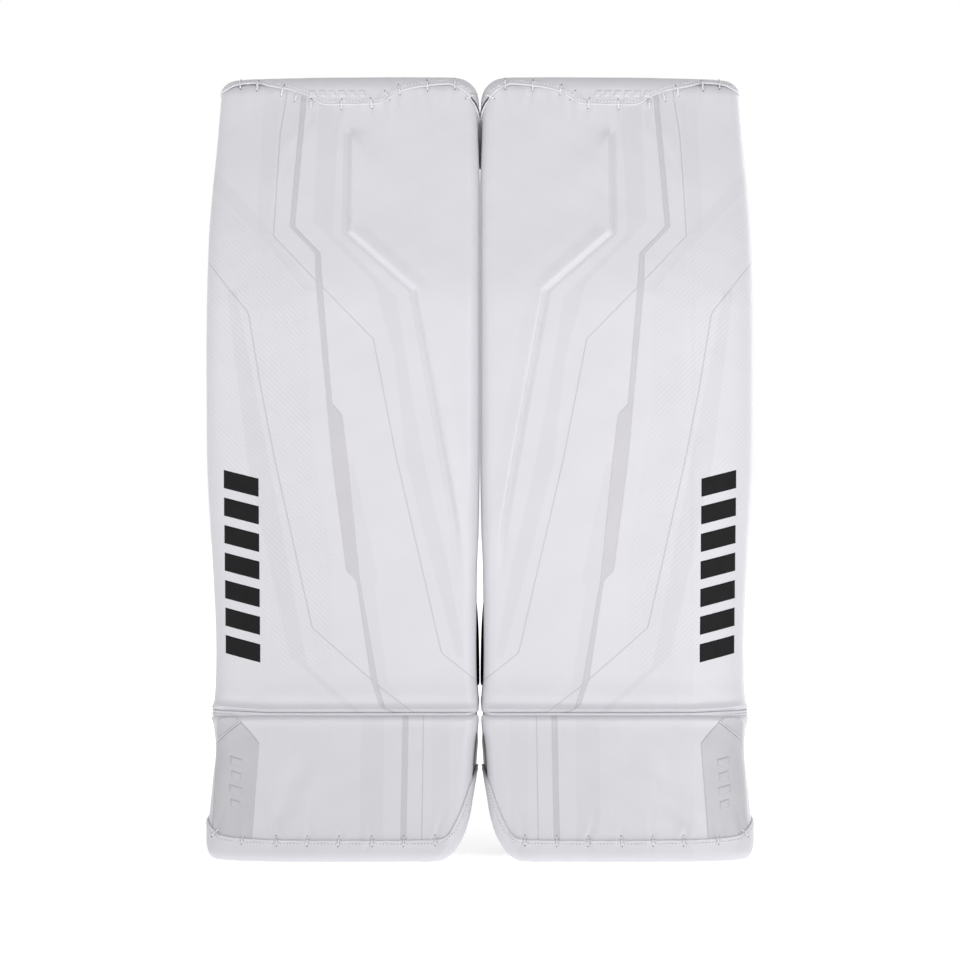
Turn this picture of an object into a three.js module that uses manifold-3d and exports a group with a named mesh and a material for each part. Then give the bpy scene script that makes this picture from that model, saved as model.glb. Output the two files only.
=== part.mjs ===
// A pair of ice-hockey goalie leg pads standing upright side by side, as worn.
//
// Millimetres. +Z is up, the strike faces look along -Y and the leg channels open along +Y. The
// origin is on the floor, midway between the two pads. Left and right are the wearer's, so the
// left pad stands on the +X side. One pad is described once, in these pad coordinates, and the
// right pad is its mirror image:
//   u  distance from the pad's inner edge, which faces the other pad, towards its outer edge
//   d  depth behind the strike face, which itself follows faceY(z)
//   z  height above the floor

import * as THREE from 'three';
import { mergeVertices } from 'three/addons/utils/BufferGeometryUtils.js';
import Module from 'manifold-3d';

const wasm = await Module();
wasm.setup();

// ---- driving dimensions -----------------------------------------------------------------------

const PAD_HEIGHT = 805;
const HALF_GAP = 1.5; // half of the space between the two pads
const TOUCH = 0.3; // gap kept between pieces that touch

// Side profile of the strike face.
const SHIN_FACE_Y = -50.5; // the upright shin and knee
const TOE_KICK = 40; // how far the toe edge stands forward of the shin
const CREASE_KICK = 5; // how far the boot crease stands forward of the shin
const THIGH_LEAN = 32; // how far the top edge leans back from the shin
const BREAK_Z = 148; // boot crease
const SHIN_FOOT_Z = 190; // the upright part begins
const KNEE_TOP_Z = 560; // the thigh rise begins

// Layers, from the strike face back.
const SKIN = 3;
const CORE_BACK = 42;
const BOARD_BACK = 45;
const PANEL_BACK = 55;
const CHANNEL_FLOOR = 52; // the leg channel is pressed into the back panel
const CAP_BACK = 58.3;

// Front corner, outer roll and its bevel.
const INNER_CORNER = 9;
const BEVEL_WIDTH = 14; // steep outermost strip of the outer roll
const BEVEL_START_DEPTH = 13;
const BEVEL_END_DEPTH = 30;
const ROLL_SEAM_U = 216; // where the core ends and the outer roll's foam begins

const BOTTOM_CAP_TOP = 25;
const TOP_CAP_BOTTOM = 778;
const LACE_RADIUS = 1.5;

// Leg channel and its wings.
const CHANNEL_FROM = 78;
const CHANNEL_TO = 232;
const CHANNEL_TOP_Z = 640;
const OUTER_WING_U = 268; // outer face of the two outer wings
const WING_THICKNESS = 10;
const WING_REST = 56; // depth at which a wing starts, just clear of the back panel
const CALF_WING_BACK = 136;
const KNEE_WING_BACK = 117;
const CALF_WING_Z = [195, 405];
const KNEE_WING_Z = [432, 556];

// Calf landing, the firm ridge along the inner edge.
const LANDING_U = [0.5, 62];
const LANDING_Z = [172, 412];
const LANDING_BACK = 84;

// Knee block: three stacked layers, each [inner u, outer u, bottom z, top z, front d, back d].
const KNEE_LAYERS = {
  knee_block_base: [5, 112, 424, 562, 55.4, 77],
  knee_block_middle: [7, 108, 428, 558, 77.3, 97],
  knee_block_landing: [5, 110, 425, 561, 97.3, 117],
};

// Straps: [bottom z, top z], all WEBBING thick.
const WEBBING = 2.2;
const STRAP_LIFT = 0.6; // clearance between a strap and the wing that carries it
const TAB_THICKNESS = 1.9;
const KNEE_STRAP_Z = [470, 520];
const UPPER_CALF_STRAP_Z = [332, 370];
const LOWER_CALF_STRAP_Z = [226, 264];
const BOOT_STRAP_Z = [56, 94];

// Boot: the skate channel between its two wings, and the toe bridge.
const INNER_BOOT_WING_U = [62, 76];
const OUTER_BOOT_WING_U = [208, 222];
const BOOT_WING_TOP = 122;
const BOOT_WING_BACK_Y = 46;
const BRIDGE_U = [92, 192];
const BRIDGE_Z = [30, 50];
const BRIDGE_FOOT = 9;
const BRIDGE_TUNNEL_BACK = 68;
const BRIDGE_BACK = 72.5;

// Opening angles left at the boot crease, for the boot to flex.
const GUSSET_ANGLE = THREE.MathUtils.degToRad(8);
const FLEX_ANGLE = THREE.MathUtils.degToRad(9);

// Outlines of the pad seen from the front, as [z, u].
const OUTER_EDGE = [
  [0, 277], [14, 281], [32, 281.5], [56, 276.5], [108, 271.5], [140, 275], [160, 273.5],
  [211, 271.5], [288, 274.5], [339, 277.5], [416, 281], [630, 280], [684, 277], [729, 273],
  [778, 267.5], [790, 265.5], [797, 262], [802, 256], [PAD_HEIGHT, 246],
];
const INNER_EDGE = [
  [0, 38], [6, 31], [14, 24.5], [32, 14], [56, 7], [82, 3], [108, 0.5], [140, 0.5], [160, 3],
  [211, 4], [288, 3], [339, 1.5], [416, 0], [778, 0], [790, 4], [797, 9], [802, 16],
  [PAD_HEIGHT, 25],
];
const ROLL_RIDGE = [[0, 214], [630, 219], [684, 210], [729, 195], [778, 170], [PAD_HEIGHT, 165]];
const FACE_PROFILE = [
  [0, SHIN_FACE_Y - TOE_KICK], [BREAK_Z, SHIN_FACE_Y - CREASE_KICK], [SHIN_FOOT_Z, SHIN_FACE_Y],
  [KNEE_TOP_Z, SHIN_FACE_Y], [PAD_HEIGHT, SHIN_FACE_Y + THIGH_LEAN],
];

// ---- materials --------------------------------------------------------------------------------

const leather = () => new THREE.MeshStandardMaterial({ color: 0xe1e1e6, roughness: 0.55 });
const foam = () => new THREE.MeshStandardMaterial({ color: 0xd9d4c4, roughness: 0.95 });
const board = () => new THREE.MeshStandardMaterial({ color: 0x8f9296, roughness: 0.6 });
const nylon = () => new THREE.MeshStandardMaterial({ color: 0x1c1c1f, roughness: 0.85 });
const webbing = () => new THREE.MeshStandardMaterial({ color: 0x232327, roughness: 0.8 });
const lace = () => new THREE.MeshStandardMaterial({ color: 0xdadade, roughness: 0.7 });

// ---- geometry helpers -------------------------------------------------------------------------

function along(table, z) {
  const next = table.findIndex(([height]) => height >= z);
  if (next <= 0) return next === 0 ? table[0][1] : table.at(-1)[1];
  const [zA, valueA] = table[next - 1];
  const [zB, valueB] = table[next];
  return THREE.MathUtils.mapLinear(z, zA, zB, valueA, valueB);
}

const faceY = (z) => along(FACE_PROFILE, z);

// A closed three.js geometry as a solid that can be cut and joined.
function solid(geometry) {
  geometry.deleteAttribute('normal');
  geometry.deleteAttribute('uv');
  const merged = mergeVertices(geometry, 1e-4);
  return new wasm.Manifold(new wasm.Mesh({
    numProp: 3,
    vertProperties: new Float32Array(merged.attributes.position.array),
    triVerts: new Uint32Array(merged.index.array),
  }));
}

// Convex rings of equal length, listed upwards and anticlockwise from above, joined into a solid.
function loft(rings) {
  const count = rings[0].length;
  const last = (rings.length - 1) * count;
  const faces = [];
  for (let i = 1; i < count - 1; i += 1) {
    faces.push(0, i + 1, i);
    faces.push(last, last + i, last + i + 1);
  }
  for (let r = 0; r < rings.length - 1; r += 1) {
    for (let i = 0; i < count; i += 1) {
      const a = r * count + i;
      const b = r * count + ((i + 1) % count);
      faces.push(a, b, b + count);
      faces.push(a, b + count, a + count);
    }
  }
  const geometry = new THREE.BufferGeometry();
  geometry.setAttribute('position', new THREE.Float32BufferAttribute(rings.flat(2), 3));
  geometry.setIndex(faces);
  return solid(geometry);
}

function extrude(points, depth) {
  const shape = new THREE.Shape(points.map(([a, b]) => new THREE.Vector2(a, b)));
  return new THREE.ExtrudeGeometry(shape, { depth, bevelEnabled: false, curveSegments: 8 });
}

// An outline of [u, y] points raised from one height to another.
function raise(points, [zFrom, zTo]) {
  return solid(extrude(points, zTo - zFrom).translate(0, 0, zFrom));
}

// An outline of [y, z] points stretched across the pad.
function stretch(points, [uFrom, uTo]) {
  const geometry = extrude(points, uTo - uFrom);
  geometry.rotateZ(Math.PI / 2).rotateY(Math.PI / 2).translate(uFrom, 0, 0);
  return solid(geometry);
}

// The pad's cross-section at one height, drawn in from the skin's outside by an inset.
function padRing(z, inset, back, height = z) {
  const inner = along(INNER_EDGE, z);
  const outer = along(OUTER_EDGE, z);
  const ridge = along(ROLL_RIDGE, z);
  const corner = INNER_CORNER + inset * (Math.SQRT2 - 1);
  const points = [
    [inner + inset, back],
    [inner + inset, corner],
    [inner + corner, inset],
    [ridge, inset],
    [outer - BEVEL_WIDTH - inset * 0.3, BEVEL_START_DEPTH + inset],
    [outer - inset, BEVEL_END_DEPTH + inset * 0.5],
    [outer - inset, back],
  ];
  return points.map(([u, d]) => [u, faceY(z) + d, height]);
}

// The pad's body over a run of heights. An overrun lengthens both ends, for a clean cut.
function padBody(inset, back, heights, overrun = 0) {
  const rings = heights.map((z) => padRing(z, inset, back));
  if (overrun > 0) {
    rings.unshift(padRing(heights[0], inset, back, heights[0] - overrun));
    rings.push(padRing(heights.at(-1), inset, back, heights.at(-1) + overrun));
  }
  return loft(rings);
}

// A slab between two depths, following the side profile of the strike face.
function layer([uFrom, uTo], [dFrom, dTo], [zFrom, zTo]) {
  const knots = FACE_PROFILE.map(([z]) => z).filter((z) => z > zFrom && z < zTo);
  const heights = [zFrom, ...knots, zTo];
  return loft(heights.map((z) => [
    [uFrom, faceY(z) + dFrom, z], [uTo, faceY(z) + dFrom, z],
    [uTo, faceY(z) + dTo, z], [uFrom, faceY(z) + dTo, z],
  ]));
}

// A rectangle with its corners cut, as [a, b] points.
function cutRectangle([aFrom, aTo], [bFrom, bTo], cut) {
  return [
    [aFrom + cut, bFrom], [aTo - cut, bFrom], [aTo, bFrom + cut], [aTo, bTo - cut],
    [aTo - cut, bTo], [aFrom + cut, bTo], [aFrom, bTo - cut], [aFrom, bFrom + cut],
  ];
}

const shinY = (d) => SHIN_FACE_Y + d;

// ---- shin: cover, core, outer roll, board and back panel --------------------------------------

const WIDE = [-20, 300];
const SHIN_HEIGHTS = [140, 160, 211, 288, 339, 416, 560, 630, 684, 729, TOP_CAP_BOTTOM];
const TOP_HEIGHTS = [790, 797];
const BOOT_HEIGHTS = [BOTTOM_CAP_TOP, 32, 56, 82, 108, 140, 150];
const BOTTOM_HEIGHTS = [6, 14];

const breakFaceY = faceY(BREAK_Z);
const REACH = 200;

// Everything below the shin's lower end, which rises towards the back.
const belowShin = stretch([
  [breakFaceY - REACH, 100],
  [breakFaceY + REACH, 100],
  [breakFaceY + REACH, BREAK_Z + TOUCH + REACH * Math.tan(GUSSET_ANGLE)],
  [breakFaceY, BREAK_Z + TOUCH],
  [breakFaceY - REACH, BREAK_Z + TOUCH],
], WIDE);

// Everything above the boot's upper end, which falls towards the back.
const aboveBoot = stretch([
  [breakFaceY - REACH, BREAK_Z],
  [breakFaceY, BREAK_Z],
  [breakFaceY + REACH, BREAK_Z - REACH * Math.tan(FLEX_ANGLE)],
  [breakFaceY + REACH, 200],
  [breakFaceY - REACH, 200],
], WIDE);

const shinInside = padBody(
  SKIN + TOUCH, PANEL_BACK, [...SHIN_HEIGHTS, ...TOP_HEIGHTS, PAD_HEIGHT - SKIN - 2 * TOUCH],
).subtract(belowShin);
const bootInside = padBody(
  SKIN + TOUCH, PANEL_BACK, [SKIN + TOUCH, ...BOTTOM_HEIGHTS, ...BOOT_HEIGHTS],
).subtract(aboveBoot);

const coverShell = (heights) => padBody(0, PANEL_BACK, heights)
  .subtract(padBody(SKIN, PANEL_BACK + SKIN, heights, SKIN));

const fullHeight = [0, PAD_HEIGHT];
const coreLayer = layer([-20, ROLL_SEAM_U], [-5, CORE_BACK], fullHeight);
const rollLayer = layer([ROLL_SEAM_U + TOUCH, 300], [-5, CORE_BACK], fullHeight);
const panelLayer = layer(WIDE, [BOARD_BACK + TOUCH, 70], fullHeight);
const boardLayer = layer([12, 262], [CORE_BACK + TOUCH, BOARD_BACK], [165, 780]);
const channel = layer([CHANNEL_FROM, CHANNEL_TO], [CHANNEL_FLOOR, 70], [100, CHANNEL_TOP_Z]);

const shinCover = coverShell(SHIN_HEIGHTS).subtract(belowShin);
const shinCore = shinInside.intersect(coreLayer);
const outerRoll = shinInside.intersect(rollLayer);
const stiffenerBoard = shinInside.intersect(boardLayer);
const backPanel = shinInside.intersect(panelLayer).subtract(channel);

// ---- top cap, bottom cap and their lacing -----------------------------------------------------

const topCap = padBody(0, CAP_BACK, [TOP_CAP_BOTTOM + TOUCH, ...TOP_HEIGHTS, 802, PAD_HEIGHT])
  .subtract(loft([
    padRing(TOP_CAP_BOTTOM, SKIN, PANEL_BACK + TOUCH, TOP_CAP_BOTTOM - SKIN),
    ...[TOP_CAP_BOTTOM, ...TOP_HEIGHTS, PAD_HEIGHT - SKIN - TOUCH]
      .map((z) => padRing(z, SKIN, PANEL_BACK + TOUCH)),
  ]));

const bottomCap = padBody(0, CAP_BACK, [0, ...BOTTOM_HEIGHTS, BOTTOM_CAP_TOP - TOUCH])
  .subtract(loft([
    ...[SKIN, ...BOTTOM_HEIGHTS, BOTTOM_CAP_TOP]
      .map((z) => padRing(z, SKIN, PANEL_BACK + TOUCH)),
    padRing(BOTTOM_CAP_TOP, SKIN, PANEL_BACK + TOUCH, BOTTOM_CAP_TOP + SKIN),
  ]));

// A lace lying along a cap's edge, over the strike face and the outer roll's bevel.
function lacing(z) {
  const clear = LACE_RADIUS + TOUCH + 0.3;
  const stops = [
    [along(INNER_EDGE, z) + INNER_CORNER + 3, 0],
    [along(ROLL_RIDGE, z), 0],
    [along(OUTER_EDGE, z) - BEVEL_WIDTH - 3, BEVEL_START_DEPTH - 0.6],
  ];
  const sides = 6;
  const rings = stops.map(([u, d]) => Array.from({ length: sides }, (_, i) => {
    const turn = (i / sides) * 2 * Math.PI;
    const y = faceY(z) + d - clear + LACE_RADIUS * Math.cos(turn);
    return [u, y, z + LACE_RADIUS * Math.sin(turn)];
  }));
  return loft(rings);
}

const topLacing = lacing(TOP_CAP_BOTTOM);
const bottomLacing = lacing(BOTTOM_CAP_TOP);

// ---- boot -------------------------------------------------------------------------------------

const bootCover = coverShell(BOOT_HEIGHTS).subtract(aboveBoot);
const bootCore = bootInside.intersect(layer(WIDE, [-5, BOARD_BACK], fullHeight));
const bootBackPanel = bootInside.intersect(panelLayer);

// The wedge of soft material that folds at the boot crease, under the shin's lower end.
const breakGusset = padBody(SKIN + TOUCH, PANEL_BACK, [140, 160])
  .intersect(stretch([
    [breakFaceY + 8, BREAK_Z + 0.2],
    [breakFaceY + PANEL_BACK + 5, BREAK_Z + 0.2],
    [breakFaceY + PANEL_BACK + 5, BREAK_Z + (PANEL_BACK + 5) * Math.tan(GUSSET_ANGLE) - TOUCH],
    [breakFaceY + 8, BREAK_Z + 8 * Math.tan(GUSSET_ANGLE) - 0.1],
  ], WIDE));

// A boot wing: its front edge lies along the back panel and steps clear of the bottom cap.
function bootWing(uRange) {
  const step = BOTTOM_CAP_TOP + 1;
  const nose = CAP_BACK + 1;
  return stretch([
    [faceY(0) + nose, 0],
    [BOOT_WING_BACK_Y - 8, 0],
    [BOOT_WING_BACK_Y, 14],
    [BOOT_WING_BACK_Y, BOOT_WING_TOP - 22],
    [BOOT_WING_BACK_Y - 16, BOOT_WING_TOP],
    [faceY(BOOT_WING_TOP) + PANEL_BACK + 1, BOOT_WING_TOP],
    [faceY(step) + PANEL_BACK + 1, step],
    [faceY(step) + nose, step],
  ], uRange);
}

// The toe bridge stands on three feet, leaving two tunnels for the toe ties.
function toeBridge() {
  const [uFrom, uTo] = BRIDGE_U;
  const middle = (uFrom + uTo) / 2;
  const block = layer(BRIDGE_U, [PANEL_BACK + 0.4, BRIDGE_BACK], BRIDGE_Z);
  const tunnels = [
    [uFrom + BRIDGE_FOOT, middle - BRIDGE_FOOT / 2],
    [middle + BRIDGE_FOOT / 2, uTo - BRIDGE_FOOT],
  ];
  return tunnels.reduce(
    (bridge, span) => bridge.subtract(layer(span, [40, BRIDGE_TUNNEL_BACK], [10, 80])), block,
  );
}

// ---- knee block and calf landing --------------------------------------------------------------

function kneeLayer([uFrom, uTo, zFrom, zTo, dFrom, dTo]) {
  const outline = cutRectangle([uFrom, uTo], [shinY(dFrom), shinY(dTo)], 3);
  return raise(outline, [zFrom, Math.min(zTo, KNEE_TOP_Z)]);
}

const calfLanding = raise(
  cutRectangle(LANDING_U, [shinY(PANEL_BACK + 0.4), shinY(LANDING_BACK)], 4), LANDING_Z,
);

// ---- wings ------------------------------------------------------------------------------------

// Rounds the free corners of a wing, seen from the side.
function wingOutline([zFrom, zTo], yFrom, yTo) {
  const round = 14;
  return stretch([
    [yFrom, zFrom], [yTo - round, zFrom], [yTo, zFrom + round],
    [yTo, zTo - round], [yTo - round, zTo], [yFrom, zTo],
  ], WIDE);
}

// An outer wing runs back from the pad's outer edge and turns inward behind the leg.
function outerWing(back, tip, zRange) {
  const outside = OUTER_WING_U;
  const inside = OUTER_WING_U - WING_THICKNESS;
  const bend = 14;
  return raise([
    [inside, shinY(WING_REST)],
    [outside, shinY(WING_REST)],
    [outside, shinY(back - bend)],
    [outside - bend, shinY(back)],
    [tip, shinY(back)],
    [tip, shinY(back - WING_THICKNESS)],
    [inside - bend * 0.6, shinY(back - WING_THICKNESS)],
    [inside, shinY(back - WING_THICKNESS - bend * 0.6)],
  ], zRange).intersect(wingOutline(zRange, shinY(50), shinY(back + 1)));
}

// The inner calf wing stands on the landing and turns outward behind the leg.
const innerCalfWing = raise([
  [4, shinY(LANDING_BACK + 1.5)],
  [4 + WING_THICKNESS, shinY(LANDING_BACK + 1.5)],
  [4 + WING_THICKNESS, shinY(119)],
  [21, shinY(CALF_WING_BACK - WING_THICKNESS)],
  [60, shinY(CALF_WING_BACK - WING_THICKNESS)],
  [60, shinY(CALF_WING_BACK)],
  [13, shinY(CALF_WING_BACK)],
  [4, shinY(122)],
], CALF_WING_Z).intersect(wingOutline(CALF_WING_Z, shinY(60), shinY(CALF_WING_BACK + 1)));

const outerCalfWing = outerWing(CALF_WING_BACK, 222, CALF_WING_Z);
const kneeWing = outerWing(KNEE_WING_BACK, 224, KNEE_WING_Z);

// ---- straps -----------------------------------------------------------------------------------

// A strap lies across the leg channel, and its pull tab is sewn on the back of its free end.
function strap(uRange, front, [zFrom, zTo]) {
  return raise(
    cutRectangle(uRange, [front, front + WEBBING], 0.5), [zFrom, zTo],
  );
}

function pullTab(uRange, front, [zFrom, zTo]) {
  return raise(
    cutRectangle(uRange, [front, front + TAB_THICKNESS], 0.5), [zFrom - 3, zTo + 3],
  );
}

const calfStrapY = shinY(CALF_WING_BACK + STRAP_LIFT);
const kneeStrapY = shinY(KNEE_WING_BACK + STRAP_LIFT);
const bootStrapY = BOOT_WING_BACK_Y + STRAP_LIFT;
const tabY = (strapY) => strapY + WEBBING + TOUCH;

// ---- one pad ----------------------------------------------------------------------------------

const pieces = [
  ['shin_cover', shinCover, leather()],
  ['shin_core', shinCore, foam()],
  ['outer_roll', outerRoll, foam()],
  ['stiffener_board', stiffenerBoard, board()],
  ['back_panel', backPanel, nylon()],
  ['top_cap', topCap, leather()],
  ['top_lacing', topLacing, lace()],
  ['calf_landing', calfLanding, nylon()],
  ['break_gusset', breakGusset, nylon()],
  ['boot_cover', bootCover, leather()],
  ['boot_core', bootCore, foam()],
  ['boot_back_panel', bootBackPanel, nylon()],
  ['bottom_cap', bottomCap, leather()],
  ['bottom_lacing', bottomLacing, lace()],
  ['inner_boot_wing', bootWing(INNER_BOOT_WING_U), nylon()],
  ['outer_boot_wing', bootWing(OUTER_BOOT_WING_U), nylon()],
  ['toe_bridge', toeBridge(), nylon()],
  ['knee_wing', kneeWing, nylon()],
  ['outer_calf_wing', outerCalfWing, nylon()],
  ['inner_calf_wing', innerCalfWing, nylon()],
  ['knee_strap', strap([30, 246], kneeStrapY, KNEE_STRAP_Z), webbing()],
  ['knee_strap_tab', pullTab([20, 60], tabY(kneeStrapY), KNEE_STRAP_Z), nylon()],
  ['upper_calf_strap', strap([14, 246], calfStrapY, UPPER_CALF_STRAP_Z), webbing()],
  ['upper_calf_strap_tab', pullTab([6, 46], tabY(calfStrapY), UPPER_CALF_STRAP_Z), nylon()],
  ['lower_calf_strap', strap([14, 246], calfStrapY, LOWER_CALF_STRAP_Z), webbing()],
  ['lower_calf_strap_tab', pullTab([6, 46], tabY(calfStrapY), LOWER_CALF_STRAP_Z), nylon()],
  ['boot_strap', strap([60, 218], bootStrapY, BOOT_STRAP_Z), webbing()],
];
for (const [name, sizes] of Object.entries(KNEE_LAYERS)) {
  pieces.push([name, kneeLayer(sizes), name === 'knee_block_middle' ? nylon() : leather()]);
}

function toGeometry(manifold) {
  const mesh = manifold.getMesh();
  const geometry = new THREE.BufferGeometry();
  geometry.setAttribute('position', new THREE.Float32BufferAttribute(mesh.vertProperties, 3));
  geometry.setIndex(Array.from(mesh.triVerts));
  geometry.computeVertexNormals();
  return geometry;
}

function makePad(side) {
  const pad = new THREE.Group();
  for (const [name, manifold, material] of pieces) {
    const mesh = new THREE.Mesh(toGeometry(manifold), material);
    mesh.name = `${side}_${name}`;
    mesh.position.x = HALF_GAP;
    pad.add(mesh);
  }
  return pad;
}

const leftPad = makePad('left');
const rightPad = makePad('right');
rightPad.scale.x = -1;

const legPads = new THREE.Group();
legPads.add(leftPad, rightPad);

export default legPads;
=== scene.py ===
import math

import bmesh
import bpy
import numpy as np
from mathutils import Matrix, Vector
from mathutils.bvhtree import BVHTree
from mathutils.kdtree import KDTree


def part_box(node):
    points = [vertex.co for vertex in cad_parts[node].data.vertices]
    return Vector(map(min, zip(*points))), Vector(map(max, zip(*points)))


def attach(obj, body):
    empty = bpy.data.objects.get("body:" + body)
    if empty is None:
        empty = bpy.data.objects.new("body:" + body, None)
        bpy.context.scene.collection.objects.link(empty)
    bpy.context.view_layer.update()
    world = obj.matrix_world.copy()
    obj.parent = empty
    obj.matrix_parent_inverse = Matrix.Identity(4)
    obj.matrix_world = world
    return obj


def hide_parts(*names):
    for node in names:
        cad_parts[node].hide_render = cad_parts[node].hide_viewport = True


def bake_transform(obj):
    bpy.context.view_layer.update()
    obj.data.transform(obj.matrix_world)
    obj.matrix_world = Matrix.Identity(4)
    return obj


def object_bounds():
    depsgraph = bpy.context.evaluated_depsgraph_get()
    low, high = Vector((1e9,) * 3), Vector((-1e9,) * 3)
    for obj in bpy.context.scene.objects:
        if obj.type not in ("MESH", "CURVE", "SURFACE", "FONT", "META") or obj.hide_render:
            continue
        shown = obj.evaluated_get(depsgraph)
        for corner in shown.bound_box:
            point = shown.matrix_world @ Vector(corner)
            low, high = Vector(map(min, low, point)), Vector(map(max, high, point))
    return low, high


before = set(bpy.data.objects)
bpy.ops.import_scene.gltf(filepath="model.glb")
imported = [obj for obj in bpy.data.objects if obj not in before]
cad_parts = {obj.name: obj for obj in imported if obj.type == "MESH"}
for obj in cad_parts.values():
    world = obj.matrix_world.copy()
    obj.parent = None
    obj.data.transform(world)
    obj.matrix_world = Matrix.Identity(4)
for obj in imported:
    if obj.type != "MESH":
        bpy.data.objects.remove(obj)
cad_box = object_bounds()

# The pads are built in pad coordinates, in millimetres, and set down in the frame in metres:
#   u  from the pad's inner edge towards its outer edge
#   d  behind the strike face, which follows face_y(z)
#   z  above the floor
MM = 0.001
SIGN = {"left": 1.0, "right": -1.0}
HALF_GAP = 1.5
PAD_TOP = cad_box[1][2] / MM
BREAK_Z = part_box("left_boot_cover")[1].z / MM
PANEL_BACK = 55.0
CAP_BACK = 58.3


# ---- outlines and profiles --------------------------------------------------------------------

def smooth(table):
    """A smooth curve through (z, value) points, which never swings past them."""
    z, value = np.array(table, float).T
    slope = np.diff(value) / np.diff(z)
    tiny = 1e-9
    mean = 2 / (1 / (slope[1:] + tiny) + 1 / (slope[:-1] + tiny))
    inner = np.where(slope[1:] * slope[:-1] > tiny, mean, 0)
    tangent = np.concatenate([slope[:1], inner, slope[-1:]])

    def curve(at):
        at = np.clip(np.asarray(at, float), z[0], z[-1])
        i = np.clip(np.searchsorted(z, at, side="right") - 1, 0, len(z) - 2)
        width = z[i + 1] - z[i]
        t = (at - z[i]) / width
        return (
            value[i] * (2 * t**3 - 3 * t**2 + 1)
            + value[i + 1] * (3 * t**2 - 2 * t**3)
            + tangent[i] * width * (t**3 - 2 * t**2 + t)
            + tangent[i + 1] * width * (t**3 - t**2)
        )

    return curve


SHIN_FACE_Y = -50.5
# The boot's face stands forward of the shin's at the floor, and leans back over the boot's height.
BOOT_FORWARD = 40
BOOT_LEAN = 35

# A pad's two side edges and the ridge of its outer roll, as (z, u), and its profile, as (z, y).
outer_edge = smooth([
    (0, 266), (4, 271), (10, 274.6), (20, 276.2), (36, 276.4), (50, 275), (82, 272.5), (108, 270.5),
    (132, 273), (148, 277), (160, 273), (180, 272), (211, 271.5), (288, 274.5), (339, 277.5), (416, 281),
    (520, 281.5), (630, 280), (684, 277), (729, 273), (778, 269.5), (788, 268.5), (796, 265.5),
    (802, 259.5), (805, 249),
])
inner_edge = smooth([
    (0, 46), (3, 37), (8, 29.5), (14, 24), (32, 14.5), (56, 8.5), (82, 6.5), (108, 4.8), (124, 3),
    (132, 1), (148, -0.5), (160, -0.2), (172, 0.8), (180, 1.9), (211, 2.4), (288, 1.7), (339, 0),
    (416, -1.1), (696, -1.1), (716, -0.6), (740, 0.4), (778, 1.5), (790, 4), (797, 9), (802, 16),
    (805, 25),
])
roll_ridge = smooth([
    (0, 214), (148, 216), (400, 217.5), (600, 218.5), (640, 217), (684, 210), (729, 195), (775, 171),
    (805, 165),
])
shin_face = smooth([
    (148, SHIN_FACE_Y - 5), (190, SHIN_FACE_Y), (400, SHIN_FACE_Y - 1.0), (560, SHIN_FACE_Y),
    (680, SHIN_FACE_Y + 14), (805, SHIN_FACE_Y + 32),
])


def face_y(z):
    boot = SHIN_FACE_Y - BOOT_FORWARD + BOOT_LEAN * np.asarray(z, float) / BREAK_Z
    return np.where(np.asarray(z) < BREAK_Z, boot, shin_face(z))


def step(x):
    """0 below 0, 1 above 1, and a smooth rise between."""
    x = np.clip(x, 0, 1)
    return x * x * (3 - 2 * x)


def bell(x, width):
    return np.exp(-((x / width) ** 2))


def quarter_round(x):
    """0 at 0 and 1 from 1 on, rising as a quarter circle does."""
    return np.sqrt(np.clip(1 - (1 - np.clip(x, 0, 1)) ** 2, 0, 1))


# ---- meshes -----------------------------------------------------------------------------------

def to_frame(points, side):
    """Points (u, y, z) in millimetres to the frame, in metres."""
    points = np.array(points, float).reshape(-1, 3) * MM
    points[:, 0] = (points[:, 0] + HALF_GAP * MM) * SIGN[side]
    return points


def linked(name, data):
    """A new object in the scene."""
    obj = bpy.data.objects.new(name, data)
    bpy.context.scene.collection.objects.link(obj)
    return obj


def add_mesh(name, side, points, faces, material, sharp=None):
    """A mesh object from points (u, y, z) in millimetres, with its normals turned outwards."""
    data = bpy.data.meshes.new(f"{side}_{name}")
    data.from_pydata(to_frame(points, side).tolist(), [], [list(f) for f in faces])
    form = bmesh.new()
    form.from_mesh(data)
    bmesh.ops.remove_doubles(form, verts=form.verts, dist=1e-6)
    bmesh.ops.recalc_face_normals(form, faces=form.faces)
    form.to_mesh(data)
    form.free()
    data.polygons.foreach_set("use_smooth", [True] * len(data.polygons))
    if sharp:
        data.set_sharp_from_angle(angle=math.radians(sharp))
    data.materials.append(material)
    return linked(f"{side}_{name}", data)


def grid_faces(rows, cols, closed=False, start=0):
    r = np.arange(rows - 1)[:, None]
    c = np.arange(cols if closed else cols - 1)[None, :]
    a = r * cols + c + start
    b = r * cols + (c + 1) % cols + start
    return np.stack([a, b, b + cols, a + cols], -1).reshape(-1, 4).tolist()


def stacked(rings):
    """A closed form from rings of points, one above another, with a flat face at each end."""
    sides = len(rings[0])
    last = sides * (len(rings) - 1)
    ends = [list(range(sides)), list(range(last, last + sides))]
    return np.concatenate(rings), [*grid_faces(len(rings), sides, closed=True), *ends]


def rim(rows, cols, start=0):
    """The indices round the outside of a grid."""
    index = np.arange(rows * cols).reshape(rows, cols) + start
    return np.concatenate([index[0, :-1], index[:-1, -1], index[-1, :0:-1], index[:0:-1, 0]])


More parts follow.
